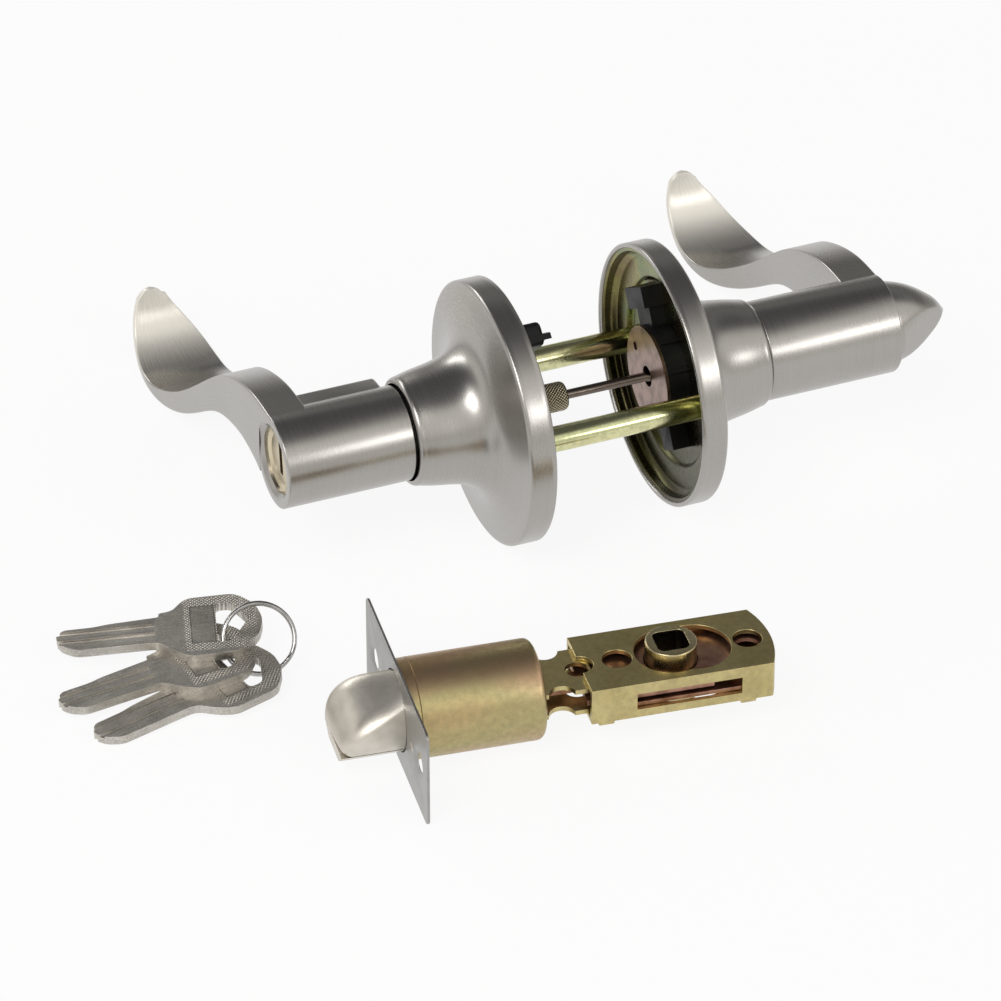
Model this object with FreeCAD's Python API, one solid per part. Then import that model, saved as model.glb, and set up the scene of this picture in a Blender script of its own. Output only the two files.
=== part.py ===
"""Keyed entry lever lock: two lever trims, a tubular latch and three keys on a ring.

Sizes are millimetres and +Z is up.  X runs along the spindle, from the keyed
side (-X) to the turn-button side (+X).  The set lies on the floor plane z = 0.
Each trim is drawn once on the +X side, by its distance t from the door face,
and mirrored for the keyed side.
"""
import FreeCAD
import Part
import math
import os

V = FreeCAD.Vector

# Clearances shared by mating pieces
RUN_GAP = 0.05
FREE_GAP = 0.3

# Trim
DOOR = 37.4
HALF_DOOR = DOOR / 2
ROSE_R = 32.5
ROSE_WALL = 1.1
ROSE_RIM = 5.6
COLLAR_END = 26.9
COLLAR_BORE = 11.95
CUP_WALL = 1.0
CUP_LIP = 0.6
CUP_FLOOR = 3.9
CUP_STEP_R = 23.6
CUP_POCKET = 5.3
SLEEVE_R = 10.0
SLEEVE_BORE = 9.0
SLEEVE_END = 22.7
SHOULDER = SLEEVE_END + FREE_GAP
NECK_START = 12.5
NECK_R = COLLAR_BORE - 0.35
KEYED_BARREL_R = NECK_R
TURN_BARREL_R = 12.25
KEYED_END = 59.5
TURN_END = 61.5
LAY = 6.0

# Posts, spindles and locking bar
POST_R = 3.1
POST_HALF_PITCH = 19.5
SCREW_R = 2.0
SCREW_HEAD_R = 3.2
SPINDLE_R = 3.65
SPINDLE_BORE = 2.6
SPINDLE_REACH = -15.0
SPINDLE_SEAT = 7.0
BAR_THICK = 1.7
BAR_WIDE = 4.0
BAR_TAIL = 12.0

# Spring cage, hub and return spring
CAGE_R = 12.4
CAGE_BORE = 11.3
CAGE_FRONT = 0.1
PLATE_FRONT = -0.7
HUB_R = SLEEVE_BORE - RUN_GAP
HUB_FRONT = 0.5
RING_R = 10.6
RING_FRONT = 1.0
RING_BACK = 1.8
SPRING_R = 10.3
SPRING_WIRE = 0.45
SPRING_START = 2.65
SPRING_PITCH = 1.1
SPRING_TURNS = 2
CAGE_TURN = 64.5
TAB_TURN = 51.5
TAB_REACH = -14.3

# Key cylinder and turn button
CYL_R = 8.25
CYL_BACK = 28.0
CYL_RECESS = 1.6
PLUG_R = 6.3
PLUG_PROUD = 0.3
PLUG_TAIL_R = 1.6
KEYWAY = 1.9
STEM_R = 4.0
STEM_BACK = 50.0
BUTTON_PROFILE = ((0.0, 10.4), (5.4, 8.9), (8.5, 7.4), (11.6, 5.3), (14.2, 2.9), (15.4, 1.1))
BUTTON_LONG = 15.8
BUTTON_TIP_R = 0.5
BUTTON_FLAT_TIP = 1.5
BUTTON_FLAT_BASE = 9.0
BUTTON_ROLL = 14.0

# Lever blade stations: top y, top z, bottom y, bottom z
EDGE_R = 0.5
BLADE = (
    (0.0, 11.55, 1.5, -11.4),
    (6.0, 12.05, 7.0, -9.2),
    (12.0, 12.2, 12.0, -6.7),
    (18.5, 11.5, 18.0, -4.8),
    (26.0, 9.75, 24.0, -4.0),
    (34.0, 6.8, 31.0, -4.35),
    (43.5, 1.5, 40.0, -6.2),
    (56.9, -7.2, 53.8, -13.0),
    (70.2, -14.9, 68.2, -19.8),
    (80.9, -19.2, 80.0, -22.9),
    (89.4, -20.8, 89.4, -23.2),
)
# Upturned end of the blade: a bend of these angles, closed by a round tip
BEND_Y = 89.4
BEND_Z = -4.8
BEND_R = 16.0
BEND_THICK = 2.4
TIP_THICK = 1.5
TIP_TURN = 92.0
BEND = (25.0, 48.0, 66.0, 80.0, TIP_TURN)
TIP_START = -9.5
TIP_TOP = -4.5
# Distance of the outer and the door-side edge from the barrel end, per station and bend angle
KEYED_EDGES = (
    (0.0, 9.5), (0.0, 9.5), (0.0, 9.5), (0.0, 9.5), (0.0, 9.6), (0.0, 9.9), (-0.2, 11.0), (-0.6, 13.8),
    (-1.1, 16.8), (-1.5, 18.4), (-1.6, 18.7), (-1.2, 18.0), (-0.3, 15.9), (0.8, 13.0), (2.1, 10.6), (3.4, 9.0),
)
KEYED_TIP = (1.1, 6.15, 11.7)
TURN_EDGES = (
    (0.0, 9.5), (0.0, 9.5), (0.0, 9.5), (0.0, 9.5), (0.0, 9.5), (-0.3, 9.4), (-1.2, 9.2), (-3.1, 9.4),
    (-5.3, 10.9), (-6.8, 12.4), (-7.1, 13.0), (-5.6, 13.2), (-2.6, 13.0), (0.4, 12.5), (3.2, 11.5), (4.9, 10.4),
)
TURN_TIP = (2.2, 7.3, 12.6)

# Cylinder pad on the keyed lever
PAD_TOP = 10.5
PAD_FAR = 10.6
PAD_BACK = 2.6

# Latch, drawn from the front of its faceplate, mid height at LATCH_MID
LATCH_X = -77.5
LATCH_Y = -78.0
LATCH_YAW = -7.16
FACE_LONG = 57.15
FACE_HIGH = 25.4
FACE_THICK = 1.3
LATCH_MID = FACE_HIGH / 2
FACE_SCREW = 41.3
FACE_SCREW_R = 2.4
FACE_SINK_R = 3.9
BACK_LONG = 34.0
BACK_HIGH = 18.0
BACK_THICK = 1.0
RIVET_PITCH = 28.8
RIVET_R = 1.2
BOLT_R = 9.5
BOLT_OUT = 14.2
BOLT_BACK = 19.0
# Curved bevel of the bolt: distance back from the tip, height over the axis
BEVEL = ((0.0, -6.0), (0.3, -3.8), (1.8, 0.4), (4.0, 3.5), (6.6, 5.4), (9.7, 6.9), (13.2, 8.5), (14.8, 9.7))
BEVEL_ROLL = 16.0
BOLT_BORE_R = 4.9
BOLT_BORE_END = 5.0
BOLT_SPRING_R = 4.0
BOLT_SPRING_WIRE = 0.45
BOLT_FLAT = -5.4
PLUNGER_BORE_R = 1.3
PLUNGER_BORE_END = 6.0
PLUNGER_AXIS = -7.6
TUBE_R = 11.9
TUBE_SEAT = 1.1
TUBE_SEAT_R = 11.4
TUBE_BORE = BOLT_R + FREE_GAP
TUBE_END = 33.0
TUBE_CAP = 1.4
CASE_FRONT = 43.4
CASE_BACK = 86.9
CASE_BULGE = 2.4
CASE_HALF_WIDE = 10.9
CASE_HALF = 4.7
CASE_WALL = 1.2
HUB_X = 65.3
HUB_ALT_X = 70.9
HUB_WELL_R = 8.6
LATCH_HUB_R = 6.1
LATCH_HUB_UP = 7.6
LATCH_HUB_SQ = 7.6
SIGHT_X = 52.4
SIGHT_R = 3.5
END_HOLE_X = 83.7
END_HOLE_R = 3.4
NOTCH_R = 3.2
NECK_HALF_WIDE = 8.0
NECK_BITE_R = 3.2
TAIL_HALF_WIDE = 8.8
TAIL_THICK = 1.4
TAIL_STALK = 3.0
FOOT_IN = 1.7
TRAVEL = 12.0

# Keys: tip position, turn and height of each in the stack, top one first
KEY_THICK = 2.2
KEY_PITCH = KEY_THICK
KEY_TILT = 3.5
KEY_TILT_X = -143.0
KEYS = ((-137.8, -14.5, -16.9, 2), (-144.2, -34.7, 3.3, 1), (-139.9, -46.9, 11.5, 0))
KEY_LINE = (
    (0.0, 0.8), (1.6, 2.9), (9.0, 3.0), (12.0, 3.6), (22.5, 4.3), (24.2, 4.4), (24.2, 5.8),
    (27.4, 6.3), (30.6, 10.6), (42.5, 10.8), (47.0, 6.2), (48.6, 0.0), (47.4, -6.0),
    (42.6, -11.6), (31.0, -12.0), (27.4, -9.4), (24.0, -5.3), (4.4, -5.3), (1.2, -3.0), (0.0, -0.6),
)
KEY_HOLE = ((37.6, 7.4), (37.6, -7.5), (41.0, -7.5), (45.2, 0.6), (41.2, 7.4))
KEY_ROUND = 2.2
KEY_HOLE_ROUND = 1.4
KEY_GROOVES = ((1.4, 1.1), (-1.9, 1.3))
RING_MEAN_R = 8.4
RING_WIRE = 0.55
RING_AT = (-94.5, -33.0, 7.4)
RING_LEAN = 46.0
RING_YAW = -15.0


def block(x0, x1, y0, y1, z0, z1):
    return Part.makeBox(x1 - x0, y1 - y0, z1 - z0, V(x0, y0, z0))


def rod(x0, x1, r, y=0.0, z=0.0):
    return Part.makeCylinder(r, x1 - x0, V(x0, y, z), V(1, 0, 0))


def tube(x0, x1, r_out, r_in, y=0.0, z=0.0):
    return rod(x0, x1, r_out, y, z).cut(rod(x0 - 1, x1 + 1, r_in, y, z))


def post(x, y, z0, z1, r):
    return Part.makeCylinder(r, z1 - z0, V(x, y, z0), V(0, 0, 1))


def pos(t):
    """X of the point at distance t from the door face on the turn-button side."""
    return HALF_DOOR + t


def line(points):
    return Part.makePolygon([V(*p) for p in points])


def curve(points):
    path = Part.BSplineCurve()
    path.interpolate([V(*p) for p in points])
    return path.toShape()


def bow(a, b, c):
    return Part.Arc(V(*a), V(*b), V(*c)).toShape()


def spin(edges):
    """Solid of revolution about X from edges drawn as (x, radius, 0)."""
    face = Part.Face(Part.Wire(Part.__sortEdges__(edges)))
    return face.revolve(V(0, 0, 0), V(1, 0, 0), 360)


def slab(points, radius, z0, z1):
    """Solid between z0 and z1 over a closed outline of (x, y) points whose corners are rounded."""
    loop = [V(x, y, z0) for x, y in points]
    edges = []
    ends = []
    for i, corner in enumerate(loop):
        back = loop[i - 1] - corner
        ahead = loop[(i + 1) % len(loop)] - corner
        reach = min(radius, 0.42 * back.Length, 0.42 * ahead.Length)
        a = corner + back.normalize() * reach
        b = corner + ahead.normalize() * reach
        bend = Part.BezierCurve()
        bend.setPoles([a, corner, b])
        edges.append(bend.toShape())
        ends.append((a, b))
    for i, (a, b) in enumerate(ends):
        edges.append(Part.makeLine(ends[i - 1][1], a))
    return Part.Face(Part.Wire(Part.__sortEdges__(edges))).extrude(V(0, 0, z1 - z0))


def coil(x0, pitch, turns, radius, wire):
    """Helical wire about X that starts at x0."""
    path = Part.makeHelix(pitch, pitch * turns, radius)
    ring = Part.Wire(Part.makeCircle(wire, V(radius, 0, 0), V(0, 1, 0)))
    body = Part.Wire(path.Edges).makePipeShell([ring], True, True)
    body.rotate(V(0, 0, 0), V(0, 1, 0), 90)
    body.translate(V(x0, 0, 0))
    return body


def turned(shape, degrees):
    copy = shape.copy()
    copy.rotate(V(0, 0, 0), V(1, 0, 0), degrees)
    return copy


def mirrored(shape):
    return shape.mirror(V(0, 0, 0), V(1, 0, 0))


def settle(shape):
    """Roll a trim piece so the lever ends reach the floor, then lift it onto the rims."""
    copy = turned(shape, -LAY)
    copy.translate(V(0, 0, ROSE_R))
    return copy


def rose():
    """Pressed rose with its dished face and long collar."""
    outer = ((6.6, 31.3), (7.6, 24.0), (9.2, 19.5), (12.0, 16.6), (16.4, 15.0), (21.9, 14.1), (25.6, 13.3))
    inner = ((5.7, 30.7), (6.5, 23.9), (8.1, 19.0), (11.1, 15.7), (15.9, 13.9), (21.8, 13.0), (25.2, 12.3))
    rim_in = ROSE_R - ROSE_WALL
    edges = list(line([(pos(0), rim_in, 0), (pos(0), ROSE_R, 0), (pos(ROSE_RIM), ROSE_R, 0)]).Edges)
    edges.append(bow((pos(ROSE_RIM), ROSE_R, 0), (pos(6.35), 32.15, 0), (pos(6.6), 31.3, 0)))
    edges.append(curve([(pos(t), r, 0) for t, r in outer]))
    edges.append(bow((pos(25.6), 13.3, 0), (pos(26.5), 12.95, 0), (pos(COLLAR_END), 12.3, 0)))
    edges += line([(pos(COLLAR_END), 12.3, 0), (pos(COLLAR_END), COLLAR_BORE, 0),
                   (pos(25.2), COLLAR_BORE, 0), (pos(25.2), 12.3, 0)]).Edges
    edges.append(curve([(pos(t), r, 0) for t, r in inner]))
    edges += line([(pos(5.7), 30.7, 0), (pos(5.4), rim_in, 0), (pos(0), rim_in, 0)]).Edges
    return spin(edges)


def mounting_plate():
    """Stepped zinc cup that fills the rose and carries the bearing sleeve."""
    r_out = ROSE_R - ROSE_WALL
    r_in = r_out - CUP_WALL
    back = CUP_FLOOR + CUP_WALL
    deep = CUP_POCKET + CUP_WALL
    section = [
        (CUP_LIP, r_out), (back, r_out), (back, CUP_STEP_R + 0.8), (deep, CUP_STEP_R - 0.2),
        (deep, SLEEVE_R), (SLEEVE_END, SLEEVE_R), (SLEEVE_END, SLEEVE_BORE), (CUP_POCKET, SLEEVE_BORE),
        (CUP_POCKET, CUP_STEP_R - 0.8), (CUP_FLOOR, CUP_STEP_R), (CUP_FLOOR, r_in - 1.2),
        (CUP_FLOOR - 1.2, r_in), (CUP_LIP, r_in), (CUP_LIP, r_out),
    ]
    return spin(line([(pos(t), r, 0) for t, r in section]).Edges)


def drilled_plate():
    """Mounting plate with the two countersunk screw holes."""
    plate = mounting_plate()
    for y in (-POST_HALF_PITCH, POST_HALF_PITCH):
        plate = plate.cut(screw_shape(y, CUP_POCKET - 1))
    return plate


def screw_shape(y, start):
    """Countersunk screw body whose head is flush with the back of the plate."""
    shank = rod(pos(start), pos(CUP_POCKET + CUP_WALL), SCREW_R, y)
    head = Part.makeCone(SCREW_R, SCREW_HEAD_R, CUP_WALL, V(pos(CUP_POCKET), y, 0), V(1, 0, 0))
    return shank.fuse(head)


def mounting_screws():
    solids = []
    for y in (-POST_HALF_PITCH, POST_HALF_PITCH):
        screw = screw_shape(y, -2.0)
        recess = rod(pos(CUP_POCKET + 0.3), pos(CUP_POCKET + CUP_WALL + 1), 1.3, y)
        solids.append(screw.cut(recess))
    return Part.makeCompound(solids)


def mounting_posts():
    """Two tubular posts from the keyed mounting plate to the other one."""
    solids = []
    reach = pos(CUP_POCKET)
    for y in (-POST_HALF_PITCH, POST_HALF_PITCH):
        shaft = rod(-reach, reach, POST_R, y)
        solids.append(shaft.cut(rod(pos(-2.0), reach + 1, SCREW_R, y)))
    return Part.makeCompound(solids)


def hub():
    """Lever hub that turns in the bearing sleeve and grips the spindle."""
    body = rod(pos(HUB_FRONT), pos(SHOULDER), HUB_R)
    groove = tube(pos(RING_FRONT), pos(RING_BACK), HUB_R + 1, HUB_R - 0.6)
    return body.cut(groove).cut(rod(pos(SPINDLE_SEAT), pos(SHOULDER + 1), 4.2)).cut(
        rod(pos(0), pos(SPINDLE_SEAT + 1), SPINDLE_R))


def retaining_ring():
    """Snap ring in the hub groove, open at one side."""
    ring = tube(pos(RING_FRONT), pos(RING_BACK), RING_R, HUB_R - 0.6)
    return ring.cut(block(pos(0), pos(3), -1.2, 1.2, -RING_R - 1, 0))


def return_spring():
    return coil(pos(SPRING_START), SPRING_PITCH, SPRING_TURNS, SPRING_R, SPRING_WIRE)


def cage():
    """Moulded spring cage: drum with a rib, a head block and a lower foot."""
    drum = tube(pos(CAGE_FRONT), pos(CUP_POCKET), CAGE_R, CAGE_BORE)
    neck = block(pos(1.6), pos(CUP_POCKET), CAGE_BORE + 0.4, 17.4, -4.2, 4.2)
    head = block(pos(0.0), pos(CUP_POCKET), 16.4, 21.6, -5.6, 5.6)
    foot = block(pos(1.0), pos(CUP_POCKET), -18.6, -CAGE_BORE - 0.4, -3.2, 3.2)
    body = turned(neck.fuse(head).fuse(foot), CAGE_TURN)
    body = body.fuse(drum).cut(rod(pos(-1), pos(CUP_POCKET + 1), CAGE_BORE))
    for angle in (118.0, 152.0, 186.0):
        rib = block(pos(0.6), pos(CUP_POCKET), CAGE_R - 0.3, CAGE_R + 0.7, -0.4, 0.4)
        body = body.fuse(turned(rib, angle))
    return body


def keyed_cage():
    """The keyed side's cage, with the locating tab that reaches into the door."""
    tab = tube(pos(TAB_REACH), pos(CUP_POCKET), 15.6, 14.2)
    keep = block(pos(TAB_REACH - 1), pos(CUP_POCKET + 1), 10.0, 20.0, -4.8, 4.8)
    tab = tab.common(keep)
    root = block(pos(1.6), pos(CUP_POCKET), CAGE_BORE + 0.4, 15.0, -4.8, 4.8)
    return cage().fuse(turned(tab.fuse(root), TAB_TURN)).cut(rod(pos(-1), pos(CUP_POCKET + 1), CAGE_BORE))


def centre_plate(hole_r):
    """Steel plate on the front of the cage, with the spindle hole."""
    plate = tube(pos(PLATE_FRONT), pos(CAGE_FRONT), CAGE_R, hole_r)
    for angle in (35.0, 215.0):
        slot = rod(pos(PLATE_FRONT - 1), pos(CAGE_FRONT + 1), 1.1, 8.6, 0)
        plate = plate.cut(turned(slot, angle))
    return plate


def spindle(front, back):
    """Spindle tube with the flat of a half moon ahead of its seat."""
    body = tube(pos(front), pos(back), SPINDLE_R, SPINDLE_BORE)
    if front < PLATE_FRONT:
        flat = block(pos(front - 1), pos(PLATE_FRONT - 2), -5, 5, SPINDLE_R - 0.7, 5)
        body = body.cut(flat)
    return body


def locking_bar():
    """Flat bar from the keyed lever to the turn button."""
    return block(-pos(BAR_TAIL), pos(TURN_END), -BAR_WIDE / 2, BAR_WIDE / 2, -BAR_THICK / 2, BAR_THICK / 2)


def turn_button():
    """Domed turn button with two inclined finger flats, on a stem."""
    base = TURN_END + FREE_GAP
    points = [(pos(base + s), r, 0) for s, r in BUTTON_PROFILE]
    tip = (pos(base + BUTTON_LONG), BUTTON_TIP_R, 0)
    edges = [curve(points + [tip])]
    edges += line([tip, (tip[0], 0, 0), (pos(base), 0, 0), points[0]]).Edges
    dome = spin(edges)
    for side in (-1, 1):
        near = [(pos(base + 1.6), side * BUTTON_FLAT_BASE, -20), (pos(base + 15.2), side * BUTTON_FLAT_TIP, -20)]
        near += [(pos(base + 30), side * BUTTON_FLAT_TIP, -20), (pos(base + 30), side * 30, -20)]
        near += [(pos(base + 1.6), side * 30, -20), near[0]]
        dome = dome.cut(turned(Part.Face(line(near)).extrude(V(0, 0, 40)), BUTTON_ROLL))
    stem = rod(pos(STEM_BACK), pos(base) + 0.5, STEM_R)
    hole = block(pos(STEM_BACK - 1), pos(TURN_END), -BAR_WIDE / 2, BAR_WIDE / 2, -BAR_THICK / 2, BAR_THICK / 2)
    return dome.fuse(stem).cut(hole)


def rounded_section(x_out, x_in, top, bottom):
    """Closed wire across the blade, from x_out to x_in and top to bottom, with rounded edges."""
    corners = [V(x_out, *top), V(x_in, *top), V(x_in, *bottom), V(x_out, *bottom)]
    edges = []
    start = None
    last = None
    for i, corner in enumerate(corners):
        back = (corners[i - 1] - corner).normalize()
        ahead = (corners[(i + 1) % 4] - corner).normalize()
        a = corner + back * EDGE_R
        b = corner + ahead * EDGE_R
        centre = corner + (back + ahead) * EDGE_R
        mid = centre + (corner - centre).normalize() * EDGE_R
        if last is not None:
            edges.append(Part.makeLine(last, a))
        edges.append(Part.Arc(a, mid, b).toShape())
        start = start or a
        last = b
    edges.append(Part.makeLine(last, start))
    return Part.Wire(edges)


def blade_lines():
    """Top and bottom (y, z) of the blade at its stations and then round the bend."""
    rows = [((ty, tz), (by, bz)) for ty, tz, by, bz in BLADE]
    for degrees in BEND:
        angle = math.radians(degrees)
        out = BEND_R + BEND_THICK + (TIP_THICK - BEND_THICK) * degrees / TIP_TURN
        top = (BEND_Y + BEND_R * math.sin(angle), BEND_Z - BEND_R * math.cos(angle))
        rows.append((top, (BEND_Y + out * math.sin(angle), BEND_Z - out * math.cos(angle))))
    return rows


def blade(end, sides, tip):
    """Lever blade lofted through its stations, flush with the barrel end, with a round tip."""
    wires = []
    for (top, bottom), (outer, door) in zip(blade_lines(), sides):
        wires.append(rounded_section(pos(end - outer), pos(end - door), top, bottom))
    near, mid, far = (pos(end - t) for t in tip)
    y = BEND_Y + BEND_R / 2
    arch = [bow((near, y, TIP_START), (mid, y, TIP_TOP), (far, y, TIP_START))]
    arch += line([(far, y, TIP_START), (far - 20, y, TIP_START), (far - 20, y, 20), (near + 20, y, 20),
                  (near + 20, y, TIP_START), (near, y, TIP_START)]).Edges
    cutter = Part.Face(Part.Wire(Part.__sortEdges__(arch))).extrude(V(0, BEND_R, 0))
    return Part.makeLoft(wires, True, False).cut(cutter)


def barrel(end, radius):
    """Lever barrel: neck inside the rose collar, then the visible length."""
    step = COLLAR_END + FREE_GAP
    section = [(NECK_START, 0), (NECK_START, NECK_R), (step, NECK_R), (step, radius),
               (end - 0.4, radius), (end, radius - 0.4), (end, 0), (NECK_START, 0)]
    return spin(line([(pos(t), r, 0) for t, r in section]).Edges)


def lever(end, radius, sides, tip):
    body = barrel(end, radius).fuse(blade(end, sides, tip))
    return body.cut(rod(pos(NECK_START - 1), pos(SHOULDER), SLEEVE_R + RUN_GAP))


def turn_lever():
    body = lever(TURN_END, TURN_BARREL_R, TURN_EDGES, TURN_TIP)
    body = body.cut(rod(pos(SHOULDER - 1), pos(STEM_BACK), STEM_R + FREE_GAP))
    return body.cut(rod(pos(STEM_BACK - 1), pos(TURN_END + 1), STEM_R + RUN_GAP))


def keyed_lever():
    """Keyed lever with the flat-topped pad over its cylinder."""
    front = COLLAR_END + PAD_BACK
    pad = block(pos(front), pos(KEYED_END - 1), 0, PAD_FAR, 0, PAD_TOP)
    body = lever(KEYED_END, KEYED_BARREL_R, KEYED_EDGES, KEYED_TIP).fuse(pad)
    body = body.cut(rod(pos(SHOULDER - 1), pos(CYL_BACK + 1), 4.2))
    body = body.cut(rod(pos(CYL_BACK), pos(KEYED_END + 1), CYL_R))
    bevel = Part.makeCone(CYL_R, CYL_R + 1.2, 1.0, V(pos(KEYED_END - 1.0), 0, 0), V(1, 0, 0))
    return body.cut(bevel)


def key_cylinder():
    """Fixed cylinder body with a bevelled face and the plug bore."""
    face = KEYED_END - CYL_RECESS
    body = rod(pos(CYL_BACK), pos(face), CYL_R)
    dish = Part.makeCone(PLUG_R, PLUG_R + 1.3, 0.8, V(pos(face - 0.8), 0, 0), V(1, 0, 0))
    body = body.cut(dish).cut(rod(pos(CYL_BACK + 1.2), pos(face + 1), PLUG_R + RUN_GAP))
    return body.cut(rod(pos(CYL_BACK - 1), pos(CYL_BACK + 2), PLUG_TAIL_R + FREE_GAP))


def key_plug():
    """Turning plug with its keyway, tail and the cup round the locking bar."""
    face = KEYED_END - CYL_RECESS + PLUG_PROUD - 0.8
    body = rod(pos(CYL_BACK + 1.2 + FREE_GAP), pos(face), PLUG_R)
    body = body.cut(block(pos(CYL_BACK + 5), pos(face + 1), -KEYWAY / 2, KEYWAY / 2, -4.0, 4.4))
    tail = rod(pos(13.0), pos(CYL_BACK + 3), PLUG_TAIL_R)
    cup = tube(pos(8.0), pos(12.3), 3.4, BAR_WIDE / 2 + 0.5).fuse(rod(pos(12.3), pos(13.5), 3.4))
    return body.fuse(tail).fuse(cup)


def place(shape):
    """Turn a latch piece to its lie on the floor and move it there."""
    copy = shape.copy()
    copy.rotate(V(0, 0, 0), V(0, 0, 1), LATCH_YAW)
    copy.translate(V(LATCH_X, LATCH_Y, 0))
    return copy


def plate(x0, thick, long, high, corner):
    """Upright latch plate with rounded corners."""
    body = block(x0, x0 + thick, -long / 2, long / 2, LATCH_MID - high / 2, LATCH_MID + high / 2)
    edges = [e for e in body.Edges if abs(e.Length - thick) < 0.01]
    return body.makeFillet(corner, edges)


def bolt_way(x0, x1):
    return rod(x0, x1, TUBE_BORE, 0, LATCH_MID)


def latch_faceplate():
    body = plate(0, FACE_THICK, FACE_LONG, FACE_HIGH, 2.0).cut(bolt_way(-1, FACE_THICK + 1))
    for y in (-FACE_SCREW / 2, FACE_SCREW / 2):
        body = body.cut(rod(-1, FACE_THICK + 1, FACE_SCREW_R, y, LATCH_MID))
        sink = Part.makeCone(FACE_SINK_R, FACE_SCREW_R, FACE_THICK - 0.4, V(0, y, LATCH_MID), V(1, 0, 0))
        body = body.cut(sink)
    for y in (-RIVET_PITCH / 2, RIVET_PITCH / 2):
        body = body.cut(rod(-1, FACE_THICK + 1, RIVET_R, y, LATCH_MID))
    return body


def latch_backing():
    """Round flange of the tube with two riveted ears."""
    x0 = FACE_THICK
    body = plate(x0, BACK_THICK, BACK_LONG, BACK_HIGH, 3.0)
    body = body.fuse(rod(x0, x0 + BACK_THICK, TUBE_SEAT_R, 0, LATCH_MID))
    body = body.cut(bolt_way(x0 - 1, x0 + BACK_THICK + 1))
    for y in (-RIVET_PITCH / 2, RIVET_PITCH / 2):
        body = body.cut(rod(x0 - 1, x0 + BACK_THICK + 1, RIVET_R, y, LATCH_MID))
    return body


def latch_rivets():
    solids = []
    back = FACE_THICK + BACK_THICK
    for y in (-RIVET_PITCH / 2, RIVET_PITCH / 2):
        shank = rod(0, back, RIVET_R, y, LATCH_MID)
        solids.append(shank.fuse(rod(back, back + 0.7, RIVET_R + 0.8, y, LATCH_MID)))
    return Part.makeCompound(solids)


def latch_tube():
    """Tube behind the faceplate, with a narrow seat and a rounded closed end slotted for the neck."""
    x0 = FACE_THICK + BACK_THICK
    body = rod(x0 + TUBE_SEAT, TUBE_END, TUBE_R, 0, LATCH_MID)
    rim = [e for e in body.Edges if abs(e.CenterOfMass.x - TUBE_END) < 0.01]
    body = body.makeFillet(1.6, rim).fuse(rod(x0, x0 + TUBE_SEAT, TUBE_SEAT_R, 0, LATCH_MID))
    body = body.cut(bolt_way(x0 - 1, TUBE_END - TUBE_CAP))
    low = LATCH_MID - CASE_HALF
    high = LATCH_MID + CASE_HALF
    return body.cut(block(TUBE_END - 3, TUBE_END + 1, -9.1, 9.1, low, high))


def bolt_body():
    """Bolt cylinder before its bevel and flat are cut."""
    return rod(-BOLT_OUT, BOLT_BACK, BOLT_R, 0, LATCH_MID)


def bevel():
    """Cutter for the crowned face that rises from the tip to the top of the bolt."""
    side = -2 * BOLT_R
    points = [(back - BOLT_OUT, side, height) for back, height in BEVEL]
    tip, top = points[0], points[-1]
    high = 4 * BOLT_R
    edges = [curve(points)]
    edges += line([top, (top[0], side, high), (-high, side, high), (-high, side, tip[2]), tip]).Edges
    cutter = Part.Face(Part.Wire(Part.__sortEdges__(edges))).extrude(V(0, -2 * side, 0))
    cutter = turned(cutter, BEVEL_ROLL)
    cutter.translate(V(0, 0, LATCH_MID))
    return cutter


def latch_bolt():
    flat = block(-BOLT_OUT - 1, BOLT_BACK + 1, -20, 20, -20, LATCH_MID + BOLT_FLAT)
    bore = rod(BOLT_BORE_END, BOLT_BACK + 1, BOLT_BORE_R, 0, LATCH_MID)
    return bolt_body().cut(bevel()).cut(flat).cut(bore)


def deadlatch_plunger():
    """Sliver of the round under the bolt, sliding on its own spring."""
    under = block(-BOLT_OUT + 0.6, BOLT_BACK - 2, -20, 20, -20, LATCH_MID + BOLT_FLAT - FREE_GAP)
    nose = block(-BOLT_OUT - 1, -BOLT_OUT + 4, -20, 20, -5, LATCH_MID - 8.4)
    bore = rod(PLUNGER_BORE_END, BOLT_BACK, PLUNGER_BORE_R, 0, LATCH_MID + PLUNGER_AXIS)
    return bolt_body().common(under).cut(nose).cut(bore)


def bolt_tail():
    """Flat tail frame from the bolt, open round the hub."""
    z0 = LATCH_MID - TAIL_THICK / 2
    z1 = LATCH_MID + TAIL_THICK / 2
    way = LATCH_HUB_R + FREE_GAP
    front = CASE_FRONT - 0.4
    stalk = block(BOLT_BORE_END, front + 1, -TAIL_STALK, TAIL_STALK, z0, z1)
    frame = block(front, HUB_X + way + 1.6, -TAIL_HALF_WIDE, TAIL_HALF_WIDE, z0, z1)
    window = block(HUB_X - way - TRAVEL, HUB_X + way, -way, way, z0 - 1, z1 + 1)
    return stalk.fuse(frame).cut(window)


def bolt_spring():
    start = BOLT_BORE_END + TRAVEL + 2 * BOLT_SPRING_WIRE
    length = TUBE_END - TUBE_CAP - BOLT_SPRING_WIRE - start
    body = coil(start, length / 6, 6, BOLT_SPRING_R, BOLT_SPRING_WIRE)
    body.translate(V(0, 0, LATCH_MID))
    return body


def plunger_spring():
    start = PLUNGER_BORE_END + TRAVEL + 0.8
    length = TUBE_END - TUBE_CAP - 0.25 - start
    body = coil(start, length / 8, 8, 0.9, 0.25)
    body.translate(V(0, 0, LATCH_MID + PLUNGER_AXIS))
    return body


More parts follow.
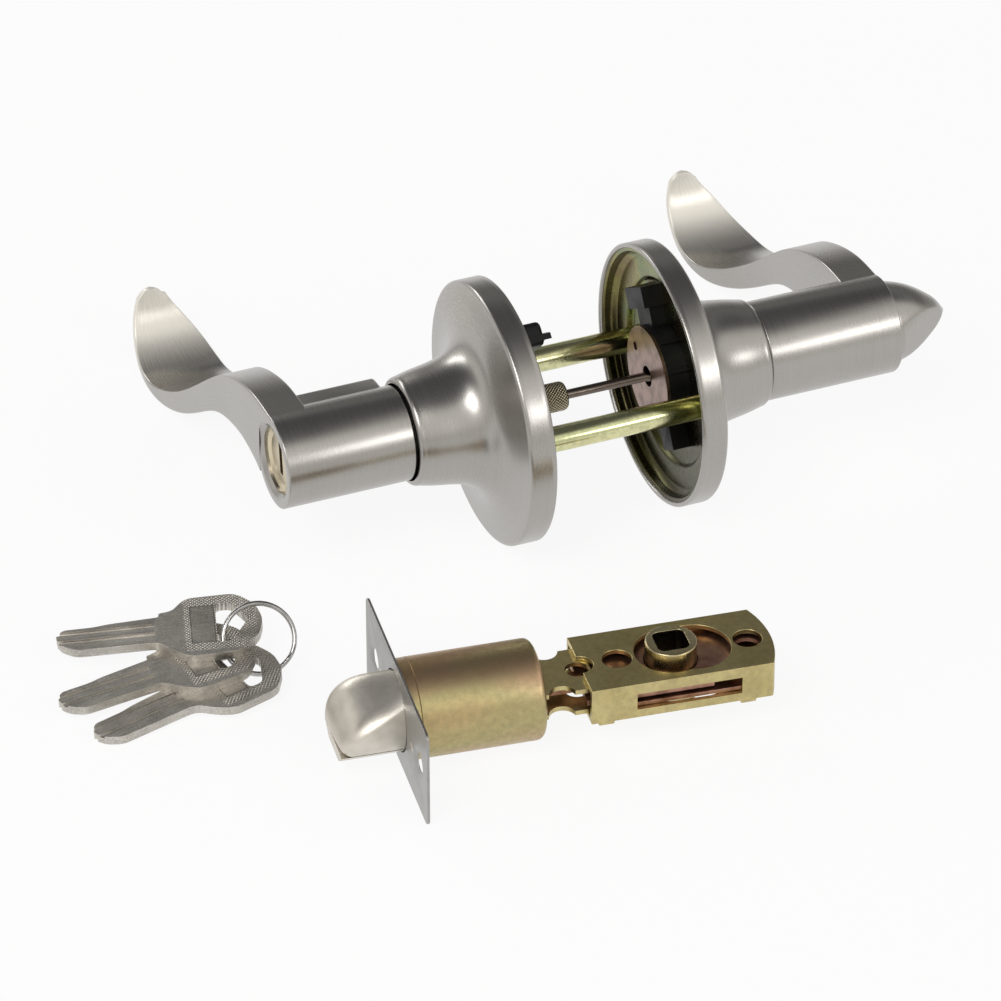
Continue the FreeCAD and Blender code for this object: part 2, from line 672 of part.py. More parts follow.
def latch_neck():
    """Two waisted straps that join the tube to the case."""
    x0 = TUBE_END - TUBE_CAP
    x1 = CASE_FRONT + 2.6
    solids = []
    top = LATCH_MID + CASE_HALF - CASE_WALL
    for z0, z1 in ((top - CASE_WALL, top), (2 * LATCH_MID - top, 2 * LATCH_MID - top + CASE_WALL)):
        strap = block(x0, x1, -NECK_HALF_WIDE, NECK_HALF_WIDE, z0, z1)
        for y in (-NECK_HALF_WIDE - 0.6, NECK_HALF_WIDE + 0.6):
            strap = strap.cut(post(x0 + 5.6, y, z0 - 1, z1 + 1, NECK_BITE_R))
        solids.append(strap.cut(post(CASE_FRONT - 0.6, 0, z0 - 1, z1 + 1, NOTCH_R - 0.4)))
    return Part.makeCompound(solids)


def case_outline(inset):
    """Plan of the case, square at the front and bowed at the back."""
    wide = CASE_HALF_WIDE - inset
    back = CASE_BACK - inset
    front = CASE_FRONT if inset == 0 else CASE_FRONT - 1
    edges = [bow((back, -wide, 0), (back + CASE_BULGE, 0, 0), (back, wide, 0))]
    edges += line([(back, wide, 0), (front, wide, 0), (front, -wide, 0), (back, -wide, 0)]).Edges
    return Part.Face(Part.Wire(Part.__sortEdges__(edges)))


def case_solid(inset, z0, z1):
    face = case_outline(inset)
    face.translate(V(0, 0, z0))
    return face.extrude(V(0, 0, z1 - z0))


def latch_case():
    """Folded case, open at the front, with the hub well, sight hole and side slots."""
    z0 = LATCH_MID - CASE_HALF
    z1 = LATCH_MID + CASE_HALF
    body = case_solid(0, z0, z1).cut(case_solid(CASE_WALL, z0 + CASE_WALL, z1 - CASE_WALL))
    for x, r in ((HUB_X, HUB_WELL_R), (HUB_ALT_X, HUB_WELL_R), (SIGHT_X, SIGHT_R),
                 (END_HOLE_X, END_HOLE_R), (CASE_FRONT, NOTCH_R)):
        body = body.cut(post(x, 0, z0 - 1, z1 + 1, r))
    return body.cut(block(CASE_FRONT + 11, CASE_FRONT + 36, -20, 20, z0 + 2.2, z1 - 2.9))


def case_feet():
    """Small tabs folded under the near and far walls of the case."""
    z0 = LATCH_MID - CASE_HALF
    solids = []
    for x in (CASE_FRONT + 4.0, CASE_FRONT + 38.0):
        for y in (-CASE_HALF_WIDE + FOOT_IN, CASE_HALF_WIDE - FOOT_IN):
            solids.append(post(x, y, z0 - 1.6, z0, 1.9).common(block(x - 3, x + 3, y - 0.6, y + 0.6, 0, z0)))
    return solids


def latch_base():
    """Copper-coloured inner plates against the case walls, seen through the wells."""
    inside = CASE_HALF - CASE_WALL
    solids = []
    for z0, z1 in ((inside - 2.2, inside - 1.2), (-inside + 1.2, -inside + 2.2)):
        body = case_solid(CASE_WALL, LATCH_MID + z0, LATCH_MID + z1)
        body = body.cut(block(0, CASE_FRONT + 2.8, -20, 20, 0, 40))
        body = body.cut(post(HUB_X, 0, 0, 40, LATCH_HUB_R + FREE_GAP))
        solids.append(body.cut(post(END_HOLE_X, 0, 0, 40, END_HOLE_R)))
    return Part.makeCompound(solids)


def latch_hub():
    """Turning hub with a square hole and a collar above and below the case."""
    body = post(HUB_X, 0, LATCH_MID - LATCH_HUB_UP, LATCH_MID + LATCH_HUB_UP, LATCH_HUB_R)
    rims = [e for e in body.Edges if len(e.Vertexes) == 1]
    body = body.makeFillet(0.5, rims)
    half = LATCH_HUB_SQ / 2
    hole = block(HUB_X - half, HUB_X + half, -half, half, 0, 40)
    upright = [e for e in hole.Edges if abs(e.Length - 40) < 0.01]
    return body.cut(hole.makeFillet(1.7, upright))


def key_blank():
    """Key with a stepped edge, grooved blade and a pierced bow, lying flat."""
    body = slab(KEY_LINE, KEY_ROUND, 0, KEY_THICK)
    body = body.cut(slab(KEY_HOLE, KEY_HOLE_ROUND, -1, KEY_THICK + 1))
    for v, wide in KEY_GROOVES:
        body = body.cut(block(-1, 23.0, v - wide / 2, v + wide / 2, KEY_THICK - 0.6, KEY_THICK + 1))
    return body.cut(block(-1, 23.0, -0.8, 0.5, -1, 0.6))


def lean(shape):
    """Tip the key stack so the bows rest on the ring and the tips on the floor."""
    copy = shape.copy()
    copy.rotate(V(KEY_TILT_X, 0, 0), V(0, 1, 0), -KEY_TILT)
    return copy


def key(index):
    x, y, turn, level = KEYS[index]
    body = key_blank()
    body.rotate(V(0, 0, 0), V(0, 0, 1), turn)
    body.translate(V(x, y, level * KEY_PITCH))
    return lean(body)


def key_ring():
    """Split ring of two touching coils through the three bows."""
    coils = []
    for offset in (-RING_WIRE, RING_WIRE):
        coils.append(Part.makeTorus(RING_MEAN_R, RING_WIRE, V(0, 0, offset)))
    ring = Part.makeCompound(coils)
    ring.rotate(V(0, 0, 0), V(1, 0, 0), RING_LEAN)
    ring.rotate(V(0, 0, 0), V(0, 0, 1), RING_YAW)
    ring.translate(V(*RING_AT))
    return ring


def trim_nodes():
    keyed = {
        "outside_rose": rose(),
        "outside_mounting_plate": mounting_plate(),
        "outside_spring_cage": keyed_cage(),
        "outside_centre_plate": centre_plate(SPINDLE_R + FREE_GAP),
        "outside_hub": hub(),
        "outside_retaining_ring": retaining_ring(),
        "outside_return_spring": return_spring(),
        "outside_lever": keyed_lever(),
        "outside_spindle": spindle(SPINDLE_REACH, SPINDLE_SEAT),
        "key_cylinder": key_cylinder(),
        "key_plug": key_plug(),
    }
    turn = {
        "inside_rose": rose(),
        "inside_mounting_plate": drilled_plate(),
        "inside_spring_cage": cage(),
        "inside_centre_plate": centre_plate(SPINDLE_BORE),
        "inside_hub": hub(),
        "inside_retaining_ring": retaining_ring(),
        "inside_return_spring": return_spring(),
        "inside_lever": turn_lever(),
        "inside_spindle": spindle(HUB_FRONT, SPINDLE_SEAT),
        "turn_button": turn_button(),
        "locking_bar": locking_bar(),
        "mounting_posts": mounting_posts(),
        "mounting_screws": mounting_screws(),
    }
    nodes = {name: settle(mirrored(shape)) for name, shape in keyed.items()}
    nodes.update({name: settle(shape) for name, shape in turn.items()})
    return nodes


def latch_nodes():
    case = latch_case()
    for foot in case_feet():
        case = case.fuse(foot)
    nodes = {
        "latch_faceplate": latch_faceplate(),
        "latch_backing_plate": latch_backing(),
        "latch_rivets": latch_rivets(),
        "latch_tube": latch_tube(),
        "latch_neck": latch_neck(),
        "latch_case": case,
        "latch_base": latch_base(),
        "latch_hub": latch_hub(),
        "latch_bolt": latch_bolt(),
        "deadlatch_plunger": deadlatch_plunger(),
        "bolt_tail": bolt_tail(),
        "bolt_spring": bolt_spring(),
        "plunger_spring": plunger_spring(),
    }
    return {name: place(shape) for name, shape in nodes.items()}


def key_nodes():
    nodes = {"key_%d" % (i + 1): key(i) for i in range(len(KEYS))}
    nodes["key_ring"] = key_ring()
    return nodes


def centred(nodes):
    """Move the set so its bounding box is centred on the origin and stands on z = 0."""
    boxes = [shape.optimalBoundingBox(False) for shape in nodes.values()]
    low = [min(getattr(b, side) for b in boxes) for side in ("XMin", "YMin", "ZMin")]
    high = [max(getattr(b, side) for b in boxes) for side in ("XMax", "YMax")]
    shift = V(-(low[0] + high[0]) / 2, -(low[1] + high[1]) / 2, -low[2])
    for shape in nodes.values():
        shape.translate(shift)
    print("shift %.3f %.3f %.3f" % (shift.x, shift.y, shift.z))
    return nodes


def main():
    os.makedirs("parts", exist_ok=True)
    nodes = {}
    nodes.update(trim_nodes())
    nodes.update(latch_nodes())
    nodes.update(key_nodes())
    for name, shape in centred(nodes).items():
        print("%-24s solids %d valid %s volume %.0f" % (name, len(shape.Solids), shape.isValid(), shape.Volume))
        shape.exportStep("parts/%s.step" % name)


main()
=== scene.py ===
"""Dresses the keyed entry lever lock: trims, latch, keys, studio and camera."""
from __future__ import annotations

import logging
import math
from collections.abc import Callable
from dataclasses import dataclass, field
from enum import Enum

import bmesh
import bpy
import numpy as np
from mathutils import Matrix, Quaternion, Vector

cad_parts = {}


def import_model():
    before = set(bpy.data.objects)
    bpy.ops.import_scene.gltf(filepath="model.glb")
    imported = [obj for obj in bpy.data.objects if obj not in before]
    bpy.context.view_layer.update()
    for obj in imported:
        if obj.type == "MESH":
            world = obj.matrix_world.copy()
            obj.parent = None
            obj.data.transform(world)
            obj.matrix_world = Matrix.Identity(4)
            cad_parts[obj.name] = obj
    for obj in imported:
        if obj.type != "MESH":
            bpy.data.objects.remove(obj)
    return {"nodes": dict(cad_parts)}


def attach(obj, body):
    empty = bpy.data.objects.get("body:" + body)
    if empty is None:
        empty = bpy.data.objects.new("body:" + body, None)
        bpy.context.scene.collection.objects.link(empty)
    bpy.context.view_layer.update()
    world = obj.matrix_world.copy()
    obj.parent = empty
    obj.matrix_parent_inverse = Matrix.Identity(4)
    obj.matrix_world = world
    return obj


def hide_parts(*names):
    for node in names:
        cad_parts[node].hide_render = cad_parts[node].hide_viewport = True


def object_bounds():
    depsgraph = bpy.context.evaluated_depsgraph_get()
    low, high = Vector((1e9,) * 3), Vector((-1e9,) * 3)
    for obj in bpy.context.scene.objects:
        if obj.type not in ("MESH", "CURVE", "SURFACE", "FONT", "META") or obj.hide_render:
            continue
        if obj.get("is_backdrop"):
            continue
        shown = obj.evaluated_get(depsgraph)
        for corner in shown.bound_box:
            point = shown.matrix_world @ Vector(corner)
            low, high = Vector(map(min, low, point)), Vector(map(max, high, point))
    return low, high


LOG = logging.getLogger("lockset")
MM = 0.001
FULL_TURN = 2 * math.pi
QUARTER = 0.5 * math.pi
UV_NAME = "lay"
LATHE_COLUMNS = 168
EASE_ANGLE = 30.0


class Side(Enum):
    """The two trims, by the sign of X that they stand on."""

    KEYED = -1
    TURN = 1


# Places


@dataclass(frozen=True)
class TrimPlace:
    """Where the trims lie: half the door gap, the shift of the set and the roll about the spindle."""

    half_door: float = 18.7
    shift_x: float = 24.091
    shift_y: float = 0.330
    height: float = 32.5
    roll: float = 6.0

    def world(self, points: np.ndarray, side: Side) -> np.ndarray:
        """Rolls local points about X, lifts them and mirrors X on the keyed side.

        Args:
            points: rows of (distance from the door face, y, z) in millimetres.
            side: the trim that the points belong to.

        Returns:
            The points in the row frame, in metres.
        """
        c, s = math.cos(math.radians(self.roll)), math.sin(math.radians(self.roll))
        x = side.value * (self.half_door + points[..., 0]) + self.shift_x
        y = points[..., 1] * c + points[..., 2] * s + self.shift_y
        z = self.height - points[..., 1] * s + points[..., 2] * c
        return np.stack([x, y, z], axis=-1) * MM


@dataclass(frozen=True)
class LatchPlace:
    """Where the latch stands: the front centre of its faceplate, its yaw and its mid height."""

    x: float = -77.5 + 24.091
    y: float = -78.0 + 0.330
    yaw: float = -7.16
    mid: float = 12.7

    def world(self, points: np.ndarray) -> np.ndarray:
        """Yaws points about Z and moves them to the faceplate's front centre.

        Args:
            points: rows of (x, y, z) in millimetres, z counted from the mid height.

        Returns:
            The points in the row frame, in metres.
        """
        c, s = math.cos(math.radians(self.yaw)), math.sin(math.radians(self.yaw))
        x = points[..., 0] * c - points[..., 1] * s + self.x
        y = points[..., 0] * s + points[..., 1] * c + self.y
        return np.stack([x, y, points[..., 2] + self.mid], axis=-1) * MM

    def local(self, points: np.ndarray) -> np.ndarray:
        """Undoes world: points in metres become rows of (x, y, z) in millimetres at the latch.

        Args:
            points: rows in metres, in the row frame.

        Returns:
            Rows of (x, y, z) in millimetres, counted from the faceplate's front centre.
        """
        c, s = math.cos(math.radians(self.yaw)), math.sin(math.radians(self.yaw))
        x, y = points[..., 0] / MM - self.x, points[..., 1] / MM - self.y
        return np.stack([x * c + y * s, y * c - x * s, points[..., 2] / MM - self.mid], axis=-1)


# Surfaces


@dataclass
class Shell:
    """A grid of points that is one closed surface, with its UV map in metres."""

    points: np.ndarray
    wrap_rows: bool = False
    flip: bool = False
    swap: bool = False

    def arrays(self, start: int) -> tuple[np.ndarray, list, list]:
        """Lists vertices, faces and corner UVs: quads join neighbours, and caps close the two ends.

        Args:
            start: the number of vertices already in the mesh.

        Returns:
            The vertices, the faces as index tuples and the corner UVs in face order.
        """
        rows, cols = self.points.shape[:2]
        index = start + np.arange(rows * cols).reshape(rows, cols)
        low = index if self.wrap_rows else index[:-1]
        high = np.roll(index, -1, axis=0) if self.wrap_rows else index[1:]
        sides = [low, np.roll(low, -1, axis=1), np.roll(high, -1, axis=1), high]
        quads = np.stack(sides, axis=-1).reshape(-1, 4)
        step = np.linalg.norm(np.diff(self.points, axis=0), axis=-1).mean(axis=1)
        closing = np.linalg.norm(self.points[0] - self.points[-1], axis=-1).mean()
        along = np.concatenate([[0.0], np.cumsum(step), [step.sum() + closing]])
        girth = np.linalg.norm(np.roll(self.points, -1, axis=1) - self.points, axis=-1).max(axis=0)
        around = np.concatenate([[0.0], np.cumsum(girth)])
        i, j = np.meshgrid(np.arange(low.shape[0]), np.arange(cols), indexing="ij")
        u = np.stack([along[i], along[i], along[i + 1], along[i + 1]], axis=-1)
        v = np.stack([around[j], around[j + 1], around[j + 1], around[j]], axis=-1)
        uv = np.stack([v, u] if self.swap else [u, v], axis=-1).reshape(-1, 4, 2)
        if self.flip:
            quads, uv = quads[:, ::-1], uv[:, ::-1]
        faces, corners = quads.tolist(), uv.reshape(-1, 2).tolist()
        if not self.wrap_rows:
            first, last = index[0][::-1], index[-1]
            for ring, place in ((first, along[0]), (last, along[-2])):
                ring = ring[::-1] if self.flip else ring
                faces.append(ring.tolist())
                corners += [[float(place), float(a)] for a in np.linspace(0, around[-1], len(ring))]
        return self.points.reshape(-1, 3), faces, corners


def build(name: str, shells: list[Shell], sharp: float) -> bpy.types.Object:
    """Makes one object from closed shells, smooth except across sharp edges.

    Args:
        name: the object's name.
        shells: the surfaces that it is made of.
        sharp: the angle in degrees past which an edge stays sharp.

    Returns:
        The new object, linked to the scene, with its place in its mesh.
    """
    verts, faces, corners = [], [], []
    count = 0
    for shell in shells:
        v, f, c = shell.arrays(count)
        verts.append(v)
        faces += f
        corners += c
        count += len(v)
    mesh = bpy.data.meshes.new(name)
    mesh.from_pydata(np.concatenate(verts).tolist(), [], faces)
    layer = mesh.uv_layers.new(name=UV_NAME)
    layer.data.foreach_set("uv", np.array(corners, dtype=np.float32).ravel())
    return place_mesh(name, mesh, sharp)


def place_mesh(name: str, mesh: bpy.types.Mesh, sharp: float) -> bpy.types.Object:
    """Smooths a mesh and links it as an object at the origin.

    Args:
        name: the object's name.
        mesh: the mesh that it gets.
        sharp: the angle in degrees past which an edge stays sharp.

    Returns:
        The new object.
    """
    mesh.polygons.foreach_set("use_smooth", np.ones(len(mesh.polygons), dtype=bool))
    mesh.set_sharp_from_angle(angle=math.radians(sharp))
    mesh.update()
    obj = bpy.data.objects.new(name, mesh)
    bpy.context.scene.collection.objects.link(obj)
    return obj


def cubic(knots: np.ndarray, values: np.ndarray, at: np.ndarray) -> np.ndarray:
    """Natural cubic spline: second derivatives from the tridiagonal system, then Hermite pieces.

    Args:
        knots: increasing parameters.
        values: rows of values at the knots.
        at: parameters to evaluate.

    Returns:
        The interpolated rows.
    """
    n = len(knots)
    h = np.diff(knots)
    matrix = np.eye(n)
    rows = np.arange(1, n - 1)
    matrix[rows, rows - 1] = h[:-1]
    matrix[rows, rows] = 2 * (h[:-1] + h[1:])
    matrix[rows, rows + 1] = h[1:]
    slope = np.diff(values, axis=0) / h[:, None]
    right = np.zeros_like(values, dtype=float)
    right[1:-1] = 6 * (slope[1:] - slope[:-1])
    bend = np.linalg.solve(matrix, right)
    k = np.clip(np.searchsorted(knots, at, side="right") - 1, 0, n - 2)
    a = ((knots[k + 1] - at) / h[k])[:, None]
    b = 1 - a
    cube = ((a**3 - a) * bend[k] + (b**3 - b) * bend[k + 1]) * (h[k][:, None] ** 2) / 6
    return a * values[k] + b * values[k + 1] + cube


def through(points: tuple, count: int) -> np.ndarray:
    """Smooth path of count points through the given ones, by their chord length.

    Args:
        points: the points that the path runs through.
        count: how many rows to give back.

    Returns:
        The rows of the path, evenly spaced by chord length.
    """
    p = np.array(points, dtype=float)
    knots = np.concatenate([[0.0], np.cumsum(np.linalg.norm(np.diff(p, axis=0), axis=1))])
    return cubic(knots, p, np.linspace(0, knots[-1], count))


def turn_profile(profile: np.ndarray, columns: int = LATHE_COLUMNS) -> np.ndarray:
    """Sweeps (t, radius) rows about X: y is radius times cosine, z is radius times sine.

    Args:
        profile: rows of (distance along X, radius).
        columns: the number of steps round the axis.

    Returns:
        A grid of local points, one row per profile point.
    """
    angle = np.linspace(0, FULL_TURN, columns, endpoint=False)
    t = np.repeat(profile[:, :1], columns, axis=1)
    y = profile[:, 1:2] * np.cos(angle)
    z = profile[:, 1:2] * np.sin(angle)
    return np.stack([t, y, z], axis=-1)


def rounded(corners: tuple, radius: float, steps: int = 5) -> np.ndarray:
    """Path through corners with each inner one rounded by a quadratic blend.

    Args:
        corners: the corner points of an open path.
        radius: how far from each corner the blend starts.
        steps: points in each blend.

    Returns:
        The rows of the rounded path.
    """
    p = np.array(corners, dtype=float)
    p = p[np.concatenate([[True], np.linalg.norm(np.diff(p, axis=0), axis=1) > 1e-6])]
    back = p[:-2] - p[1:-1]
    ahead = p[2:] - p[1:-1]
    reach_b = np.minimum(radius, np.linalg.norm(back, axis=1) * 0.45)[:, None]
    reach_a = np.minimum(radius, np.linalg.norm(ahead, axis=1) * 0.45)[:, None]
    a = p[1:-1] + back / np.linalg.norm(back, axis=1)[:, None] * reach_b
    b = p[1:-1] + ahead / np.linalg.norm(ahead, axis=1)[:, None] * reach_a
    s = np.linspace(0, 1, steps)[None, :, None]
    blend = a[:, None] * (1 - s) ** 2 + p[1:-1][:, None] * 2 * s * (1 - s) + b[:, None] * s**2
    return np.concatenate([p[:1], blend.reshape(-1, p.shape[1]), p[-1:]])


def softened(node: str, name: str, bevel: float, reshape: Callable | None = None) -> bpy.types.Object:
    """Merged copy of a machined node with its edges eased.

    Args:
        node: the frame's node.
        name: the new object's name.
        bevel: width of the eased edge in millimetres.
        reshape: takes the vertices as rows in metres and gives them back moved.

    Returns:
        The new object, standing for the node.
    """
    bm = bmesh.new()
    bm.from_mesh(FRAME["nodes"][node].data)
    bmesh.ops.remove_doubles(bm, verts=bm.verts, dist=1e-6)
    bmesh.ops.dissolve_limit(bm, angle_limit=math.radians(0.6), verts=bm.verts, edges=bm.edges)
    mesh = bpy.data.meshes.new(name)
    bm.to_mesh(mesh)
    bm.free()
    if reshape:
        flat = np.empty(3 * len(mesh.vertices))
        mesh.vertices.foreach_get("co", flat)
        mesh.vertices.foreach_set("co", reshape(flat.reshape(-1, 3)).ravel())
    obj = place_mesh(name, mesh, EASE_ANGLE)
    ease = obj.modifiers.new("ease", "BEVEL")
    ease.width = bevel * MM
    ease.segments = 2
    ease.limit_method = "ANGLE"
    ease.angle_limit = math.radians(EASE_ANGLE)
    ease.use_clamp_overlap = True
    ease.harden_normals = True
    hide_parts(node)
    return obj


# Shader maths


class Value:
    """A shader socket on which Python arithmetic adds Math nodes."""

    def __init__(self, net: Net, socket: bpy.types.NodeSocket) -> None:
        """Keeps the net and the socket."""
        self.net = net
        self.socket = socket

    def _math(self, operation: str, first: Value | float, second: Value | float) -> Value:
        """Adds a Math node of that operation on two values."""
        return self.net.value("ShaderNodeMath", {"operation": operation}, {0: first, 1: second})

    def __add__(self, other: Value | float) -> Value:
        """Sum."""
        return self._math("ADD", self, other)

    __radd__ = __add__

    def __sub__(self, other: Value | float) -> Value:
        """Difference."""
        return self._math("SUBTRACT", self, other)

    def __rsub__(self, other: Value | float) -> Value:
        """Difference from a number."""
        return self._math("SUBTRACT", other, self)

    def __mul__(self, other: Value | float) -> Value:
        """Product."""
        return self._math("MULTIPLY", self, other)

    __rmul__ = __mul__

    def __lt__(self, other: Value | float) -> Value:
        """One where this is less."""
        return self._math("LESS_THAN", self, other)

    def __gt__(self, other: Value | float) -> Value:
        """One where this is greater."""
        return self._math("GREATER_THAN", self, other)

    def wave(self) -> Value:
        """Sine."""
        return self._math("SINE", self, 0.0)

    def size(self) -> Value:
        """Absolute value."""
        return self._math("ABSOLUTE", self, 0.0)

    def larger(self, other: Value | float) -> Value:
        """The larger of two."""
        return self._math("MAXIMUM", self, other)

    def ranged(self, low: float, high: float, to_low: float = 0.0, to_high: float = 1.0) -> Value:
        """Maps low..high onto to_low..to_high, clamped."""
        sockets = {"Value": self, "From Min": low, "From Max": high, "To Min": to_low, "To Max": to_high}
        return self.net.value("ShaderNodeMapRange", {"clamp": True}, sockets)


class Net:
    """The node tree of one material or of the world."""

    def __init__(self, tree: bpy.types.NodeTree) -> None:
        """Empties the tree."""
        self.tree = tree
        tree.nodes.clear()

    def node(self, kind: str, settings: dict | None = None, sockets: dict | None = None) -> bpy.types.Node:
        """Adds a node, sets its settings, then its sockets.

        Args:
            kind: the node's type.
            settings: attributes, and "stops" for a colour ramp.
            sockets: values or links by input name or number.

        Returns:
            The node.
        """
        made = self.tree.nodes.new(kind)
        for key, setting in (settings or {}).items():
            if key == "stops":
                ramp = made.color_ramp
                while len(ramp.elements) < len(setting):
                    ramp.elements.new(0.5)
                for element, (place, colour) in zip(ramp.elements, setting):
                    element.position = place
                    element.color = (*colour, 1.0)
            else:
                setattr(made, key, setting)
        for key, given in (sockets or {}).items():
            target = made.inputs[key]
            if isinstance(given, Value):
                self.tree.links.new(given.socket, target)
            elif isinstance(given, bpy.types.NodeSocket):
                self.tree.links.new(given, target)
            elif isinstance(given, tuple) and target.type == "RGBA" and len(given) == 3:
                target.default_value = (*given, 1.0)
            else:
                target.default_value = given
        return made

    def value(self, kind: str, settings: dict | None = None, sockets: dict | None = None,
              out: int = 0) -> Value:
        """Adds a node and wraps one of its outputs."""
        return Value(self, self.node(kind, settings, sockets).outputs[out])

    def noise(self, vector: Value, scale: float, detail: float = 2.0, rough: float = 0.5) -> Value:
        """Noise between about 0.25 and 0.75 at a scale per metre."""
        sockets = {"Vector": vector, "Scale": scale, "Detail": detail, "Roughness": rough}
        return self.value("ShaderNodeTexNoise", {"noise_dimensions": "3D"}, sockets)

    def blend(self, factor: Value | float, first: Value | tuple, second: Value | tuple) -> Value:
        """Mixes two colours."""
        sockets = {0: factor, 6: first, 7: second}
        return self.value("ShaderNodeMix", {"data_type": "RGBA", "clamp_factor": True}, sockets, 2)

    def ramp(self, factor: Value, stops: tuple) -> Value:
        """Colour along a ramp."""
        return self.value("ShaderNodeValToRGB", {"stops": stops}, {"Fac": factor})

    def uv(self, along: float, across: float) -> Value:
        """The piece's own UV map, scaled per metre along its rows and across them."""
        flat = self.value("ShaderNodeUVMap", {"uv_map": UV_NAME})
        return self.value("ShaderNodeMapping", None, {"Vector": flat, "Scale": (along, across, 1.0)})

    def place(self, scale: tuple = (1.0, 1.0, 1.0), turn: float = 0.0,
              shift: tuple = (0.0, 0.0, 0.0)) -> Value:
        """Object coordinates, moved, turned about Z in degrees and scaled.

        Args:
            scale: factor on each axis.
            turn: degrees about Z.
            shift: metres added before the turn.

        Returns:
            The vector for a texture.
        """
        here = self.value("ShaderNodeTexCoord", out=3)
        moved = self.value("ShaderNodeVectorMath", {"operation": "ADD"}, {0: here, 1: shift})
        about = (0, 0, math.radians(turn))
        turned = self.value("ShaderNodeMapping", None, {"Vector": moved, "Rotation": about})
        return self.value("ShaderNodeVectorMath", {"operation": "MULTIPLY"}, {0: turned, 1: scale})

    def split(self, vector: Value) -> tuple[Value, Value, Value]:
        """The three parts of a vector."""
        parts = self.node("ShaderNodeSeparateXYZ", None, {"Vector": vector})
        return Value(self, parts.outputs[0]), Value(self, parts.outputs[1]), Value(self, parts.outputs[2])

    def bump(self, height: Value, depth: float, strength: float = 1.0) -> Value:
        """Normal bent by a height in units of depth metres."""
        return self.value("ShaderNodeBump", None, {"Height": height, "Distance": depth, "Strength": strength})

    def surface(self, sockets: dict) -> None:
        """Ends the tree in a Principled shader with these sockets."""
        shader = self.node("ShaderNodeBsdfPrincipled", None, sockets)
        self.node("ShaderNodeOutputMaterial", None, {"Surface": shader.outputs[0]})


def new_material(name: str) -> tuple[bpy.types.Material, Net]:
    """Makes an empty material and its net.

    Args:
        name: the material's name.

    Returns:
        The material and its net.
    """
    material = bpy.data.materials.new(name)
    material.use_nodes = True
    return material, Net(material.node_tree)


# Finishes


@dataclass(frozen=True)
class SatinNickel:
    """Brushed nickel with lathe lines that follow the piece's UV map."""

    name: str
    light: tuple[float, float, float] = (0.45, 0.435, 0.41)
    dark: tuple[float, float, float] = (0.34, 0.325, 0.305)
    rough: float = 0.28
    lines: float = 6400.0
    run: float = 26.0
    highlight_strength: float = 0.0
    highlight_band: tuple[float, float] = (0.087, 0.1005)
    highlight_colour: tuple[float, float, float] = (0.80, 0.765, 0.69)

    def make(self) -> bpy.types.Material:
        """Lines are noise stretched along the brush; towards the lever's end, over a band along Y, a painted
        highlight turns the metal paler and softer.

        Returns:
            The material.
        """
        material, net = new_material(self.name)
        lines = net.noise(net.uv(self.lines, self.run), 1.0, 3.0, 0.6)
        broad = net.noise(net.uv(self.lines * 0.2, self.run * 0.4), 1.0, 2.0)
        cloud = net.noise(net.place(), 55.0, 3.0)
        grain = net.noise(net.place(), 3400.0, 2.0)
        tone = lines.ranged(0.25, 0.75) * 0.4 + broad.ranged(0.3, 0.7) * 0.12 + cloud.ranged(0.3, 0.7) * 0.2
        tone = tone + grain.ranged(0.3, 0.7) * 0.28
        colour = net.blend(tone, self.dark, self.light)
        metal = 1.0
        # Painted highlight: along Y, towards the lever's end, the colour turns cream and the metal less
        # metallic, standing in for light.
        if self.highlight_strength:
            _, deep, _ = net.split(net.place())
            highlight_band = deep.ranged(*self.highlight_band) * self.highlight_strength
            colour = net.blend(highlight_band, colour, self.highlight_colour)
            metal = 1.0 - highlight_band * 0.8
        rough = self.rough + (lines - 0.5) * 0.09 + (cloud - 0.5) * 0.08
        height = lines * 0.6 + grain * 0.4
        net.surface({
            "Base Color": colour,
            "Metallic": metal,
            "Roughness": rough,
            "Normal": net.bump(height, 0.00003, 0.4),
        })
        return material


